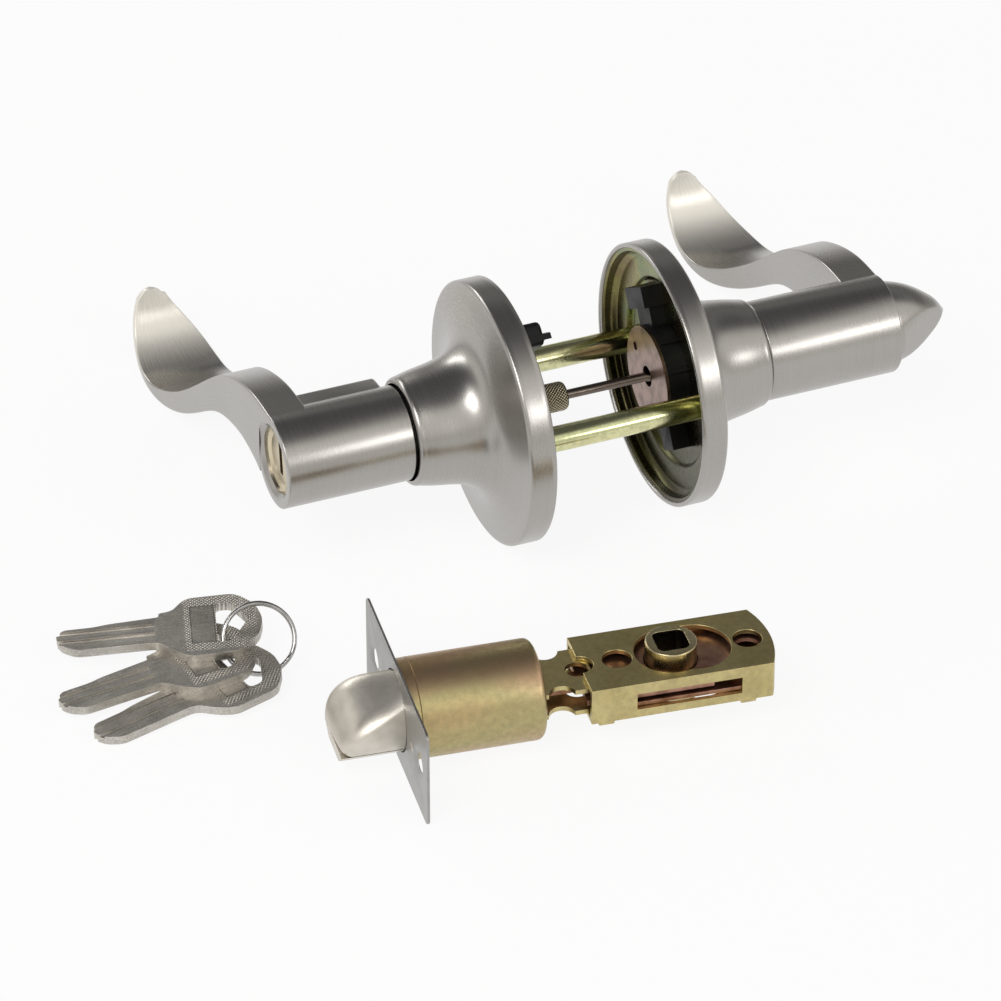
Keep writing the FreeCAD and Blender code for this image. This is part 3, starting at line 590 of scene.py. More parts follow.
@dataclass(frozen=True)
class Chromate:
    """Zinc plate with a chromate film whose tint drifts between a few colours."""

    name: str
    tints: tuple[tuple[float, float, float], ...]
    rough: float = 0.30
    drift: float = 70.0
    streak: tuple[float, float, float] = (1.0, 1.0, 1.0)
    # The well (x, y, radius, top) and its colour paint shade inside a recess.
    well: tuple[float, float, float, float] | None = None
    # Two heights (upper, lower) between which the colour darkens towards the bottom as painted shade, and the
    # colour of that shade.
    shade_heights: tuple[float, float] | None = None
    dirt: tuple[float, float, float] = (0.2, 0.17, 0.1)
    well_shade: tuple[float, float, float] = (0.03, 0.022, 0.015)
    low_shade: tuple[float, float, float] = (0.045, 0.04, 0.02)

    def make(self) -> bpy.types.Material:
        """The tint follows slow noise; painted shade fills a well (x, y, radius, top) and darkens the colour
        from the upper of two heights down to the lower.

        Returns:
            The material.
        """
        material, net = new_material(self.name)
        slow = net.noise(net.place(self.streak), self.drift, 2.0)
        grain = net.noise(net.place(), 2600.0, 2.0)
        spots = net.noise(net.place(), 620.0, 3.0)
        count = len(self.tints)
        stops = tuple((0.3 + 0.4 * i / (count - 1), tint) for i, tint in enumerate(self.tints))
        tint = net.ramp(slow, stops)
        dirt = spots.ranged(0.35, 0.72, 0.0, 0.28) + grain.ranged(0.3, 0.7, 0.0, 0.16)
        shade = net.blend(dirt, tint, self.dirt)
        rough = self.rough + (spots - 0.5) * 0.2 + (grain - 0.5) * 0.1
        # Painted shade: inside the well, below its top, the colour is darkened nearly to black.
        if self.well:
            x, y, radius, top = self.well
            east, north, up = net.split(net.place(shift=(-x, -y, -top)))
            near = east * east + north * north
            shade = net.blend((near < radius**2) * (up < 0.0) * 0.92, shade, self.well_shade)
        # Painted shade: the colour darkens towards the bottom between the two heights.
        if self.shade_heights:
            _, _, up = net.split(net.place())
            low = (up + (slow - 0.5) * 0.03).ranged(self.shade_heights[1], self.shade_heights[0], 0.9, 0.0)
            shade = net.blend(low, shade, self.low_shade)
        net.surface({
            "Base Color": shade,
            "Metallic": 1.0,
            "Roughness": rough,
            "Normal": net.bump(grain, 0.00003, 0.4),
        })
        return material


@dataclass(frozen=True)
class PlainMetal:
    """Drawn or turned metal with a fine grain."""

    name: str
    colour: tuple[float, float, float]
    rough: float = 0.25
    stain: tuple[float, float, float] = (0.1, 0.09, 0.08)
    stained: float = 0.3

    def make(self) -> bpy.types.Material:
        """Grain and patches of stain vary the tone and the roughness.

        Returns:
            The material.
        """
        material, net = new_material(self.name)
        patch = net.noise(net.place(), 240.0, 3.0)
        grain = net.noise(net.place((1.0, 5.0, 5.0)), 900.0, 2.0)
        net.surface({
            "Base Color": net.blend(patch.ranged(0.42, 0.75, 0.0, self.stained), self.colour, self.stain),
            "Metallic": 1.0,
            "Roughness": self.rough + (grain - 0.5) * 0.25,
            "Normal": net.bump(grain, 0.00003, 0.5),
        })
        return material


@dataclass(frozen=True)
class KnurledSteel:
    """Diamond-knurled steel: pale brassy points in a dark net, laid out on the piece's UV map; the pale
    points are a painted highlight and the dark net painted shade between them.
    """

    name: str
    pitch: float = 0.95
    # Colours of the painted highlight on the knurl's peaks and of the painted shade in its grooves.
    point: tuple[float, float, float] = (0.66, 0.58, 0.42)
    net: tuple[float, float, float] = (0.06, 0.045, 0.03)

    def make(self) -> bpy.types.Material:
        """Points stand where the sines of the two diagonals are both large.

        Returns:
            The material.
        """
        material, net = new_material(self.name)
        along, around, _ = net.split(net.uv(1000.0, 1000.0))
        step = FULL_TURN / self.pitch
        rising = ((along + around) * (0.5 * step)).wave().size()
        falling = ((along - around) * (0.5 * step)).wave().size()
        points = rising * falling
        grain = net.noise(net.place(), 1500.0, 2.0)
        # Painted light: the knurl's peaks are painted pale as a highlight and the grooves between them
        # painted dark as shade.
        net.surface({
            "Base Color": net.blend((points + (grain - 0.5) * 0.5).ranged(0.22, 0.6), self.net, self.point),
            "Metallic": 1.0,
            "Roughness": grain.ranged(0.3, 0.7, 0.28, 0.42),
            "Normal": net.bump(points, 0.0002, 0.8),
        })
        return material


@dataclass(frozen=True)
class Moulded:
    """Black moulded plastic with a faint spark texture."""

    name: str = "cage_black"
    colour: tuple[float, float, float] = (0.004, 0.004, 0.0045)
    dust: tuple[float, float, float] = (0.03, 0.029, 0.027)

    def make(self) -> bpy.types.Material:
        """Spark texture is fine noise in the bump, with a dusty tone over it.

        Returns:
            The material.
        """
        material, net = new_material(self.name)
        spark = net.noise(net.place(), 1900.0, 2.0)
        dust = net.noise(net.place(), 160.0, 3.0)
        net.surface({
            "Base Color": net.blend(dust.ranged(0.5, 0.8, 0.0, 0.2), self.colour, self.dust),
            "Roughness": dust.ranged(0.3, 0.7, 0.40, 0.56),
            "Specular IOR Level": 0.25,
            "Normal": net.bump(spark, 0.00006, 0.5),
        })
        return material


@dataclass(frozen=True)
class KeyNickel:
    """Nickel-plated key: brushed blade, and a knurled bow round a plain panel."""

    name: str
    turn: float
    tip: tuple[float, float]
    pitch: float = 1.0
    bow: tuple[float, float, float] = (29.6, 46.6, 10.2)
    panel: tuple[float, float, float, float] = (31.4, 36.6, -7.0, 6.6)
    line: float = 0.35
    light: tuple[float, float, float] = (0.80, 0.765, 0.70)
    dark: tuple[float, float, float] = (0.30, 0.28, 0.25)

    def make(self) -> bpy.types.Material:
        """The knurl is two crossed sines, masked to the bow outside the panel and inside its rim.

        Returns:
            The material.
        """
        material, net = new_material(self.name)
        shift = (-self.tip[0] * MM, -self.tip[1] * MM, 0.0)
        u, v, _ = net.split(net.place((1000.0, 1000.0, 1000.0), -self.turn, shift))
        begin, end, half = self.bow
        bow = (u > begin) * (u < end) * (v.size() < half)
        left, right, low, high = self.panel
        inside = (u > left) * (u < right) * (v > low) * (v < high)
        rim = self.line
        frame = (u > left - rim) * (u < right + rim) * (v > low - rim) * (v < high + rim) * (1 - inside)
        knurl = bow * (1 - inside) * (1 - frame)
        step = FULL_TURN / self.pitch
        ridges = (u * step).wave() * (v * step).wave()
        grain = net.noise(net.place(), 2300.0, 3.0)
        brush = net.noise(net.place((60.0, 900.0, 900.0), -self.turn), 3.0, 2.0)
        cloud = net.noise(net.place(), 170.0, 3.0)
        tone = grain.ranged(0.3, 0.7) * 0.35 + brush.ranged(0.3, 0.7) * 0.25 + cloud.ranged(0.3, 0.7) * 0.3
        tone = tone + knurl * ridges * 0.4 - frame * 0.45 - inside * 0.03
        height = knurl * ridges * 0.8 + grain * 0.3 - frame * 0.6
        net.surface({
            "Base Color": net.blend(tone, self.dark, self.light),
            "Metallic": 1.0,
            "Roughness": 0.42 + (grain - 0.5) * 0.3,
            "Normal": net.bump(height, 0.00012, 0.9),
        })
        return material


# Finishes of this set


NICKEL_TURNED = SatinNickel("nickel_turned")
# The blade's finish carries a painted highlight towards the end of each lever.
NICKEL_BLADE = SatinNickel("nickel_blade", highlight_strength=0.95)
# The cup's finish is darkened towards the bottom as painted shade.
ZINC_CUP = Chromate("zinc_yellow",
                    ((0.20, 0.13, 0.06), (0.30, 0.27, 0.09), (0.16, 0.22, 0.09), (0.26, 0.13, 0.08)),
                    0.26, 60.0, shade_heights=(0.052, 0.020))
ZINC_POST = Chromate("zinc_post",
                     ((0.80, 0.70, 0.34), (0.76, 0.74, 0.42), (0.62, 0.66, 0.38), (0.50, 0.36, 0.22)),
                     0.2, 90.0, (0.12, 1.0, 1.0))
CAGE_BLACK = Moulded()
PLATE_ROSE = PlainMetal("plate_rose", (0.32, 0.215, 0.18), 0.32, (0.05, 0.03, 0.02), 0.85)
STEEL_DARK = PlainMetal("steel_dark", (0.15, 0.12, 0.10), 0.22)
BRASS_PLUG = PlainMetal("brass_plug", (0.66, 0.58, 0.42), 0.28, (0.25, 0.18, 0.1), 0.3)
STEEL_KNURLED = KnurledSteel("steel_knurled")
PLATE_NICKEL = PlainMetal("plate_nickel", (0.37, 0.365, 0.35), 0.36, (0.24, 0.23, 0.21), 0.35)
LATCH_NICKEL = PlainMetal("latch_nickel", (0.68, 0.64, 0.57), 0.38, (0.3, 0.26, 0.2), 0.25)
ZINC_KHAKI = Chromate("zinc_khaki",
                      ((0.56, 0.46, 0.21), (0.62, 0.52, 0.25), (0.52, 0.43, 0.19)),
                      0.34, 60.0)
HUB_TINTS = ((0.50, 0.42, 0.24), (0.58, 0.50, 0.30), (0.46, 0.38, 0.20))
ZINC_TAN = Chromate("zinc_tan",
                    ((0.58, 0.42, 0.19), (0.57, 0.38, 0.23), (0.47, 0.41, 0.20), (0.56, 0.40, 0.20)),
                    0.40, 45.0, (0.35, 1.0, 1.0))
COPPER_WASH = PlainMetal("copper_wash", (0.46, 0.27, 0.20), 0.38, (0.16, 0.07, 0.04), 0.8)
STEEL_PLAIN = PlainMetal("steel_plain", (0.3, 0.27, 0.24), 0.3)
RING_BRIGHT = PlainMetal("ring_bright", (0.46, 0.45, 0.44), 0.14, (0.06, 0.06, 0.06), 0.5)


# Trims


@dataclass
class Rose:
    """Dished rose with its collar, one for each side."""

    side: Side
    outer: tuple = ((6.6, 31.3), (7.6, 24.0), (9.2, 19.5), (12.0, 16.6),
                    (16.4, 15.0), (21.9, 14.1), (25.6, 13.3))
    inner: tuple = ((25.2, 12.3), (21.8, 13.0), (15.9, 13.9), (11.1, 15.7),
                    (8.1, 19.0), (6.5, 23.9), (5.7, 30.7))
    radius: float = 32.5
    wall: float = 1.1
    bore: float = 11.95
    lip: float = 0.25
    rim: tuple = (1.5, 3.0, 4.6)
    shoulder: tuple[float, float, float] = (5.6, 1.0, 1.15)
    nose: tuple[float, float, float, float] = (25.6, 12.3, 1.3, 1.0)

    def profile(self) -> np.ndarray:
        """Closed loop of (t, radius): rim, rounded shoulder, dished face, collar lip, then the inner wall.

        Returns:
            Rows of (t, radius).
        """
        inside = self.radius - self.wall
        lip = rounded(((self.lip, inside), (0.0, inside + 0.2), (0.0, self.radius - self.lip),
                       (0.3, self.radius)), self.lip, 4)
        rim = np.array([(t, self.radius) for t in self.rim])
        start, run, drop = self.shoulder
        angle = np.linspace(0, QUARTER, 8)
        shoulder = np.stack([start + run * np.sin(angle), self.radius - drop + drop * np.cos(angle)], axis=-1)
        face = through(self.outer, 54)[1:]
        begin, low, out, up = self.nose
        turn = np.linspace(0.1, QUARTER, 7)
        nose = np.stack([begin + out * np.sin(turn), low + up * np.cos(turn)], axis=-1)
        back = np.array([(begin + out, self.bore), (self.inner[0][0], self.bore)])
        inner = through(self.inner, 26)
        last = np.array([(5.4, inside), (3.0, inside)])
        return np.concatenate([lip, rim, shoulder, face, nose, back, inner, last])

    def make(self, place: TrimPlace, finish: bpy.types.Material) -> None:
        """Turns the profile about the spindle and dresses it.

        Args:
            place: where the trims lie.
            finish: the material that it gets.
        """
        grid = place.world(turn_profile(self.profile()), self.side)
        name = "rose_keyed" if self.side is Side.KEYED else "rose_turn"
        obj = build(name, [Shell(grid, wrap_rows=True, flip=self.side is Side.KEYED)], 50.0)
        obj.data.materials.append(finish)
        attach(obj, "lockset")
        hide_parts("outside_rose" if self.side is Side.KEYED else "inside_rose")
        LOG.info("rose %s: %d faces", self.side.name, len(obj.data.polygons))


@dataclass
class Lever:
    """Lever of one side: barrel, and a swept blade whose stations are spline-fitted."""

    side: Side
    end: float
    radius: float
    bore: float
    edges: tuple
    tip: tuple[float, float, float]
    stations: tuple = (
        (0.0, 11.55, 1.5, -11.4), (6.0, 12.05, 7.0, -9.2), (12.0, 12.2, 12.0, -6.7),
        (18.5, 11.5, 18.0, -4.8), (26.0, 9.75, 24.0, -4.0), (34.0, 6.8, 31.0, -4.35),
        (43.5, 1.5, 40.0, -6.2), (56.9, -7.2, 53.8, -13.0), (70.2, -14.9, 68.2, -19.8),
        (80.9, -19.2, 80.0, -22.9), (89.4, -20.8, 89.4, -23.2),
    )
    bends: tuple = (25.0, 48.0, 66.0, 80.0, 92.0)
    bend_centre: tuple[float, float] = (89.4, -4.8)
    bend_radius: float = 16.0
    thick: tuple[float, float] = (2.4, 1.5)
    root: tuple = ((0.0, 90.0, 9.6), (2.0, 60.0, 9.6), (4.0, 30.0, 9.6), (6.0, 0.0, 9.6), (7.5, -25.0, 10.4),
                   (9.5, -40.5, 12.35))
    edge: float = 0.5
    neck: float = 10.9
    collar: float = 26.9
    gap: float = 0.5
    neck_start: float = 12.5
    neck_bore: float = 10.05
    flare: tuple[float, float] = (1.0, 1.2)
    bore_back: float = 24.0
    body_rows: int = 180
    nose_rows: int = 44
    nose_share: float = 0.34
    pad_corners: tuple = ((9.2, 3.0), (3.0, 9.2), (3.0, 10.5), (10.6, 10.5), (10.6, 3.0), (9.4, 3.0))
    pad_round: float = 1.1
    pad_start: float = 29.5
    pad_ease: tuple = (0.6, 0.25, 0.0, 0.0, 0.1)

    def rows(self, body: int, nose: int) -> np.ndarray:
        """Stations (top y, top z, bottom y, bottom z, outer, door side), splined.

        The spline runs by the length of the top line. At the root the bottom line runs round the
        bore, by angle and radius over the top line's y. At the tip the two sides close along a
        circle that they touch.

        Args:
            body: rows up to the start of the tip.
            nose: rows from there on, closer together towards the end.

        Returns:
            One row per cross section.
        """
        angle = np.radians(np.array(self.bends))
        wall = self.bend_radius + self.thick[0] + (self.thick[1] - self.thick[0]) * angle / angle[-1]
        cy, cz = self.bend_centre
        tail = np.stack([cy + self.bend_radius * np.sin(angle), cz - self.bend_radius * np.cos(angle),
                         cy + wall * np.sin(angle), cz - wall * np.cos(angle)], axis=-1)
        table = np.concatenate([np.array(self.stations, dtype=float), tail])
        table = np.concatenate([table, np.array(self.edges, dtype=float)], axis=1)
        step = np.linalg.norm(np.diff(table[:, :2], axis=0), axis=1)
        knots = np.concatenate([[0.0], np.cumsum(step)])
        mid, round_r, top = self.tip
        last = math.degrees(math.acos((cz - top) / self.bend_radius))
        finish = knots[-1] - math.radians(self.bends[-1] - last) * self.bend_radius
        turn = finish - self.nose_share * self.bend_radius
        at = np.concatenate([np.linspace(0, turn, body, endpoint=False),
                             turn + (finish - turn) * np.sin(np.linspace(0, QUARTER, nose))])
        rows = cubic(knots, table, at)
        round_y, turn_deg, away = (np.array(column) for column in zip(*self.root))
        start = rows[:, 0] < round_y[-1]
        bearing = np.radians(np.interp(rows[start, 0], round_y, turn_deg))
        far = np.interp(rows[start, 0], round_y, away)
        rows[start, 2], rows[start, 3] = far * np.cos(bearing), far * np.sin(bearing)
        height = rows[:, 1] - (top - round_r)
        reach = np.sqrt(np.maximum(round_r**2 - height**2, 0.0)) + 0.02
        closing = (np.arange(len(rows)) >= body) & (height > 0.5 * round_r)
        rows[:, 4] = np.where(closing, np.maximum(rows[:, 4], mid - reach), rows[:, 4])
        rows[:, 5] = np.where(closing, np.minimum(rows[:, 5], mid + reach), rows[:, 5])
        return rows

    def blade(self) -> np.ndarray:
        """Cross sections: a rectangle from outer to door side and top to bottom, with quarter-round edges.

        Returns:
            A grid of local points in millimetres, one row per section.
        """
        rows = self.rows(self.body_rows, self.nose_rows)
        count = len(rows)
        top, bottom = rows[:, 0:2], rows[:, 2:4]
        out, back = self.end + 0.02 - rows[:, 4], self.end - rows[:, 5]
        down = bottom - top
        depth = np.linalg.norm(down, axis=1)
        down = down / depth[:, None]
        r = np.minimum(self.edge, np.minimum(0.4 * depth, 0.45 * (out - back)))
        low = np.where(rows[:, 0] < self.root[-1][0], 0.05, r)
        quarter = np.linspace(0, QUARTER, 6)
        flat = np.linspace(0, 1, 9)[1:-1]
        sx, sd = [], []
        corners = ((out, -1, np.zeros(count), 1, r), (back, 1, np.zeros(count), 1, r),
                   (back, 1, depth, -1, low), (out, -1, depth, -1, low))
        for i, (edge_x, sign, edge_d, lift, bend) in enumerate(corners):
            cx, cd = edge_x + sign * bend, edge_d + lift * bend
            swing = quarter if i % 2 == 0 else quarter[::-1]
            x = cx[:, None] - sign * bend[:, None] * np.cos(swing)
            d = cd[:, None] - lift * bend[:, None] * np.sin(swing)
            sx.append(x)
            sd.append(d)
        px, pd = [], []
        for i in range(4):
            nx, nd = sx[(i + 1) % 4][:, :1], sd[(i + 1) % 4][:, :1]
            px += [sx[i], sx[i][:, -1:] + (nx - sx[i][:, -1:]) * flat]
            pd += [sd[i], sd[i][:, -1:] + (nd - sd[i][:, -1:]) * flat]
        x, d = np.concatenate(px, axis=1), np.concatenate(pd, axis=1)
        y = top[:, :1] + down[:, :1] * d
        z = top[:, 1:2] + down[:, 1:2] * d
        return np.stack([x, y, z], axis=-1)

    def barrel(self) -> np.ndarray:
        """Closed (t, radius) loop: neck in the collar, step, length, rounded end and the bores.

        Returns:
            Rows of (t, radius).
        """
        step = self.collar + self.gap
        start, (deep, wide) = self.neck_start, self.flare
        outer = rounded(((start, self.neck_bore), (start, self.neck), (step, self.neck), (step, self.radius),
                         (self.end, self.radius), (self.end, self.bore + wide),
                         (self.end - deep, self.bore)), 0.4, 5)
        inner = np.array([(self.end - 8.0, self.bore), (self.bore_back, self.bore),
                          (self.bore_back - 1.0, self.neck_bore)])
        return np.concatenate([outer, inner])

    def make(self, place: TrimPlace, finish: bpy.types.Material) -> None:
        """Builds the lever in one mesh and dresses it.

        Args:
            place: where the trims lie.
            finish: the material that it gets.
        """
        flip = self.side is Side.KEYED
        shells = [
            Shell(place.world(turn_profile(self.barrel()), self.side), wrap_rows=True, flip=flip),
            Shell(place.world(self.blade(), self.side), flip=not flip, swap=True),
        ]
        if self.side is Side.KEYED:
            shells.append(Shell(place.world(self.pad(), self.side), swap=True))
        name = "lever_keyed" if flip else "lever_turn"
        obj = build(name, shells, 42.0)
        obj.data.materials.append(finish)
        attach(obj, "keyed_lever" if flip else "turn_lever")
        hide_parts("outside_lever" if flip else "inside_lever")
        LOG.info("lever %s: %d faces", self.side.name, len(obj.data.polygons))

    def pad(self) -> np.ndarray:
        """Flat-topped pad over the cylinder: a rounded block carried along X from the collar to the end.

        Returns:
            A grid of local points in millimetres, one row per section.
        """
        section = rounded(self.pad_corners, self.pad_round, 6)
        begin = self.pad_start
        t = np.array([begin, begin + 0.1, begin + 0.6, self.end - 1.2, self.end - 1.0])
        shrink = np.array(self.pad_ease)[:, None]
        centre = section.mean(axis=0)
        away = np.sign(section - centre)[None]
        yz = section[None] - away * shrink[..., None]
        return np.concatenate([np.repeat(t[:, None, None], len(section), axis=1), yz], axis=-1)


@dataclass
class TurnButton:
    """Domed turn button: radius is the dome's, limited by two inclined planes."""

    base: float = 61.8
    dome: tuple = ((0.0, 10.4), (5.4, 8.9), (8.5, 7.4), (11.6, 5.3), (14.2, 2.9), (15.4, 1.1), (15.8, 0.5))
    flat_near: tuple[float, float] = (1.6, 9.0)
    flat_tip: tuple[float, float] = (15.2, 1.5)
    roll: float = 14.0
    stem: float = 4.0
    stem_back: float = 50.0
    power: float = 28.0

    def grid(self) -> np.ndarray:
        """Radius is a soft minimum of the dome's and the plane's distance over the cosine of the angle.

        Returns:
            A grid of local points in millimetres, one row per section.
        """
        path = through(self.dome, 46)
        angle = np.linspace(0, FULL_TURN, 144, endpoint=False)
        lead = np.array([(self.stem_back - self.base, self.stem), (-0.25, self.stem), (-0.25, 10.0)])
        path = np.concatenate([lead, [(0.0, 10.32)], path[1:]])
        slope = (self.flat_tip[1] - self.flat_near[1]) / (self.flat_tip[0] - self.flat_near[0])
        plane = np.maximum(self.flat_near[1] + slope * (path[:, 0] - self.flat_near[0]), self.flat_tip[1])
        plane = np.where(path[:, 0] < self.flat_near[0], 99.0, plane)
        limit = plane[:, None] / np.maximum(np.abs(np.cos(angle - math.radians(self.roll))), 1e-3)
        radius = (path[:, 1:2] ** -self.power + limit**-self.power) ** (-1 / self.power)
        t = np.repeat(path[:, :1] + self.base, len(angle), axis=1)
        return np.stack([t, radius * np.cos(angle), radius * np.sin(angle)], axis=-1)

    def make(self, place: TrimPlace, finish: bpy.types.Material) -> None:
        """Builds the button with its stem.

        Args:
            place: where the trims lie.
            finish: the material that it gets.
        """
        obj = build("button", [Shell(place.world(self.grid(), Side.TURN))], 24.0)
        obj.data.materials.append(finish)
        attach(obj, "button")
        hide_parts("turn_button")
        LOG.info("turn button: %d faces", len(obj.data.polygons))


@dataclass
class Cup:
    """Stepped mounting plate of one side, with its sleeve."""

    side: Side
    section: tuple = (
        (0.6, 31.4), (4.9, 31.4), (4.9, 24.4), (6.3, 23.4), (6.3, 10.0), (22.7, 10.0), (22.7, 9.0),
        (5.3, 9.0), (5.3, 22.8), (3.9, 23.6), (3.9, 29.2), (2.7, 30.4), (0.6, 30.4), (0.6, 31.4),
    )

    def make(self, place: TrimPlace, finish: bpy.types.Material) -> None:
        """Turns the rounded section about the spindle.

        Args:
            place: where the trims lie.
            finish: the material that it gets.
        """
        path = rounded(self.section, 0.5, 4)[:-1]
        grid = place.world(turn_profile(path, 128), self.side)
        keyed = self.side is Side.KEYED
        obj = build("cup_keyed" if keyed else "cup_turn", [Shell(grid, wrap_rows=True, flip=keyed)], 40.0)
        obj.data.materials.append(finish)
        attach(obj, "lockset")
        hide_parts("outside_mounting_plate" if keyed else "inside_mounting_plate")
        LOG.info("mounting plate %s: %d faces", self.side.name, len(obj.data.polygons))


@dataclass
class Posts:
    """The two posts, as tubes with eased ends."""

    radius: float = 3.1
    half_pitch: float = 19.5
    reach: float = 24.0
    bore: float = 2.0

    def make(self, place: TrimPlace, finish: bpy.types.Material) -> None:
        """Sweeps one closed tube section about each post's own axis.

        Args:
            place: where the trims lie.
            finish: the material that it gets.
        """
        path = rounded(((-self.reach, self.bore), (-self.reach, self.radius), (self.reach, self.radius),
                        (self.reach, self.bore), (self.reach - 3, self.bore), (self.reach - 3, 0.3)), 0.2, 3)
        shells = []
        for y in (-self.half_pitch, self.half_pitch):
            grid = turn_profile(path, 64) + np.array([-place.half_door, y, 0.0])
            shells.append(Shell(place.world(grid, Side.TURN)))
        obj = build("posts", shells, 40.0)
        obj.data.materials.append(finish)
        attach(obj, "lockset")
        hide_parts("mounting_posts")
        LOG.info("posts: %d faces", len(obj.data.polygons))


@dataclass
class Spindle:
    """Keyed spindle with a diamond-knurled sleeve at its free end."""

    radius: float = 3.6
    front: float = -15.0
    back: float = 7.0
    bore: float = 2.6
    pitch: float = 0.85
    relief: float = 0.22
    lead: float = 0.3
    stop: float = -3.0
    columns: int = 144

    def make(self, place: TrimPlace, finish: bpy.types.Material) -> None:
        """The knurl lifts the radius by the product of two sines of t and angle turned against each other.

        Args:
            place: where the trims lie.
            finish: the material that it gets.
        """
        t = np.linspace(self.front + self.lead, self.stop, 110)[:, None]
        angle = np.linspace(0, FULL_TURN, self.columns, endpoint=False)[None]
        turns = round(FULL_TURN * self.radius / self.pitch)
        wave = FULL_TURN * t / self.pitch
        lift = np.abs(np.sin(0.5 * (wave + turns * angle)) * np.sin(0.5 * (wave - turns * angle)))
        ease = np.minimum(1.0, np.minimum(t - self.front - self.lead, self.stop - t) / 0.8 + 0.2)
        radius = self.radius - self.relief + self.relief * lift * np.clip(ease, 0, 1)
        across, high = radius * np.cos(angle), radius * np.sin(angle)
        knurled = np.stack([np.repeat(t, self.columns, axis=1), across, high], axis=-1)
        nose = turn_profile(np.array([(self.front + 0.5, self.bore), (self.front, self.bore),
                                      (self.front, self.radius - 0.45)]), self.columns)
        seat = turn_profile(np.array([(self.stop + 0.1, self.radius - 0.2), (self.back, self.radius),
                                      (self.back, self.bore)]), self.columns)
        grid = place.world(np.concatenate([nose, knurled, seat]), Side.KEYED)
        obj = build("spindle_keyed", [Shell(grid, wrap_rows=True, flip=True)], 60.0)
        obj.data.materials.append(finish)
        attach(obj, "keyed_lever")
        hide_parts("outside_spindle")
        LOG.info("spindle: %d faces", len(obj.data.polygons))


@dataclass
class CageTab:
    """Thick locating tab of the keyed side's cage, reaching into the door."""

    reach: float = -12.6
    seat: float = 2.0
    near: float = 12.4
    far: float = 18.3
    half: float = 4.7
    turn: float = 51.5

    def make(self, place: TrimPlace, finish: bpy.types.Material) -> None:
        """Carries a rounded rectangle along X and eases its free end by shrinking the last sections.

        Args:
            place: where the trims lie.
            finish: the material that it gets.
        """
        a, b, h = self.near, self.far, self.half
        section = rounded(((a, 0.0), (a, h), (b, h), (b, -h), (a, -h), (a, -0.01)), 1.6, 7)
        t = np.array([self.reach, self.reach + 0.12, self.reach + 0.45, self.reach + 1.0, self.seat])
        shrink = np.array([0.9, 0.45, 0.14, 0.0, 0.0])[:, None, None]
        centre = np.array([0.5 * (a + b), 0.0])
        yz = section[None] - np.sign(section - centre)[None] * shrink
        c, s = math.cos(math.radians(self.turn)), math.sin(math.radians(self.turn))
        grid = np.stack([np.repeat(t[:, None], len(section), axis=1), yz[..., 0] * c - yz[..., 1] * s,
                         yz[..., 0] * s + yz[..., 1] * c], axis=-1)
        obj = build("cage_tab", [Shell(place.world(grid, Side.KEYED))], 40.0)
        obj.data.materials.append(finish)
        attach(obj, "lockset")
        LOG.info("cage tab: %d faces", len(obj.data.polygons))


@dataclass
class LockBar:
    """Locking bar: flat where it is held at both ends, drawn down to a slim rod between the trims."""

    end: float = 61.5
    tail: float = -49.4
    wide: float = 4.0
    thick: float = 1.7
    slim: float = 1.15
    waist: tuple[float, float] = (-33.5, -1.5)

    def make(self, place: TrimPlace, finish: bpy.types.Material) -> None:
        """Each section is a superellipse; its half sizes and power change at the waist.

        Args:
            place: where the trims lie.
            finish: the material that it gets.
        """
        lo, hi = self.waist
        t = np.array([self.tail, self.tail + 0.01, lo - 1.5, lo, hi, hi + 1.5, self.end - 0.01, self.end])
        slim = np.array([0.0, 0.0, 0.0, 1.0, 1.0, 0.0, 0.0, 0.0])
        y = self.wide / 2 + (self.slim - self.wide / 2) * slim
        z = self.thick / 2 + (self.slim - self.thick / 2) * slim
        power = 0.12 + 0.88 * slim
        angle = np.linspace(0, FULL_TURN, 48, endpoint=False)
        c, s = np.cos(angle), np.sin(angle)
        py = y[:, None] * np.sign(c) * np.abs(c) ** power[:, None]
        pz = z[:, None] * np.sign(s) * np.abs(s) ** power[:, None]
        grid = np.stack([np.repeat(t[:, None], 48, axis=1), py, pz], axis=-1)
        obj = build("lock_bar", [Shell(place.world(grid, Side.TURN))], 40.0)
        obj.data.materials.append(finish)
        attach(obj, "button")
        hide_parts("locking_bar")
        LOG.info("locking bar: %d faces", len(obj.data.polygons))


# Latch


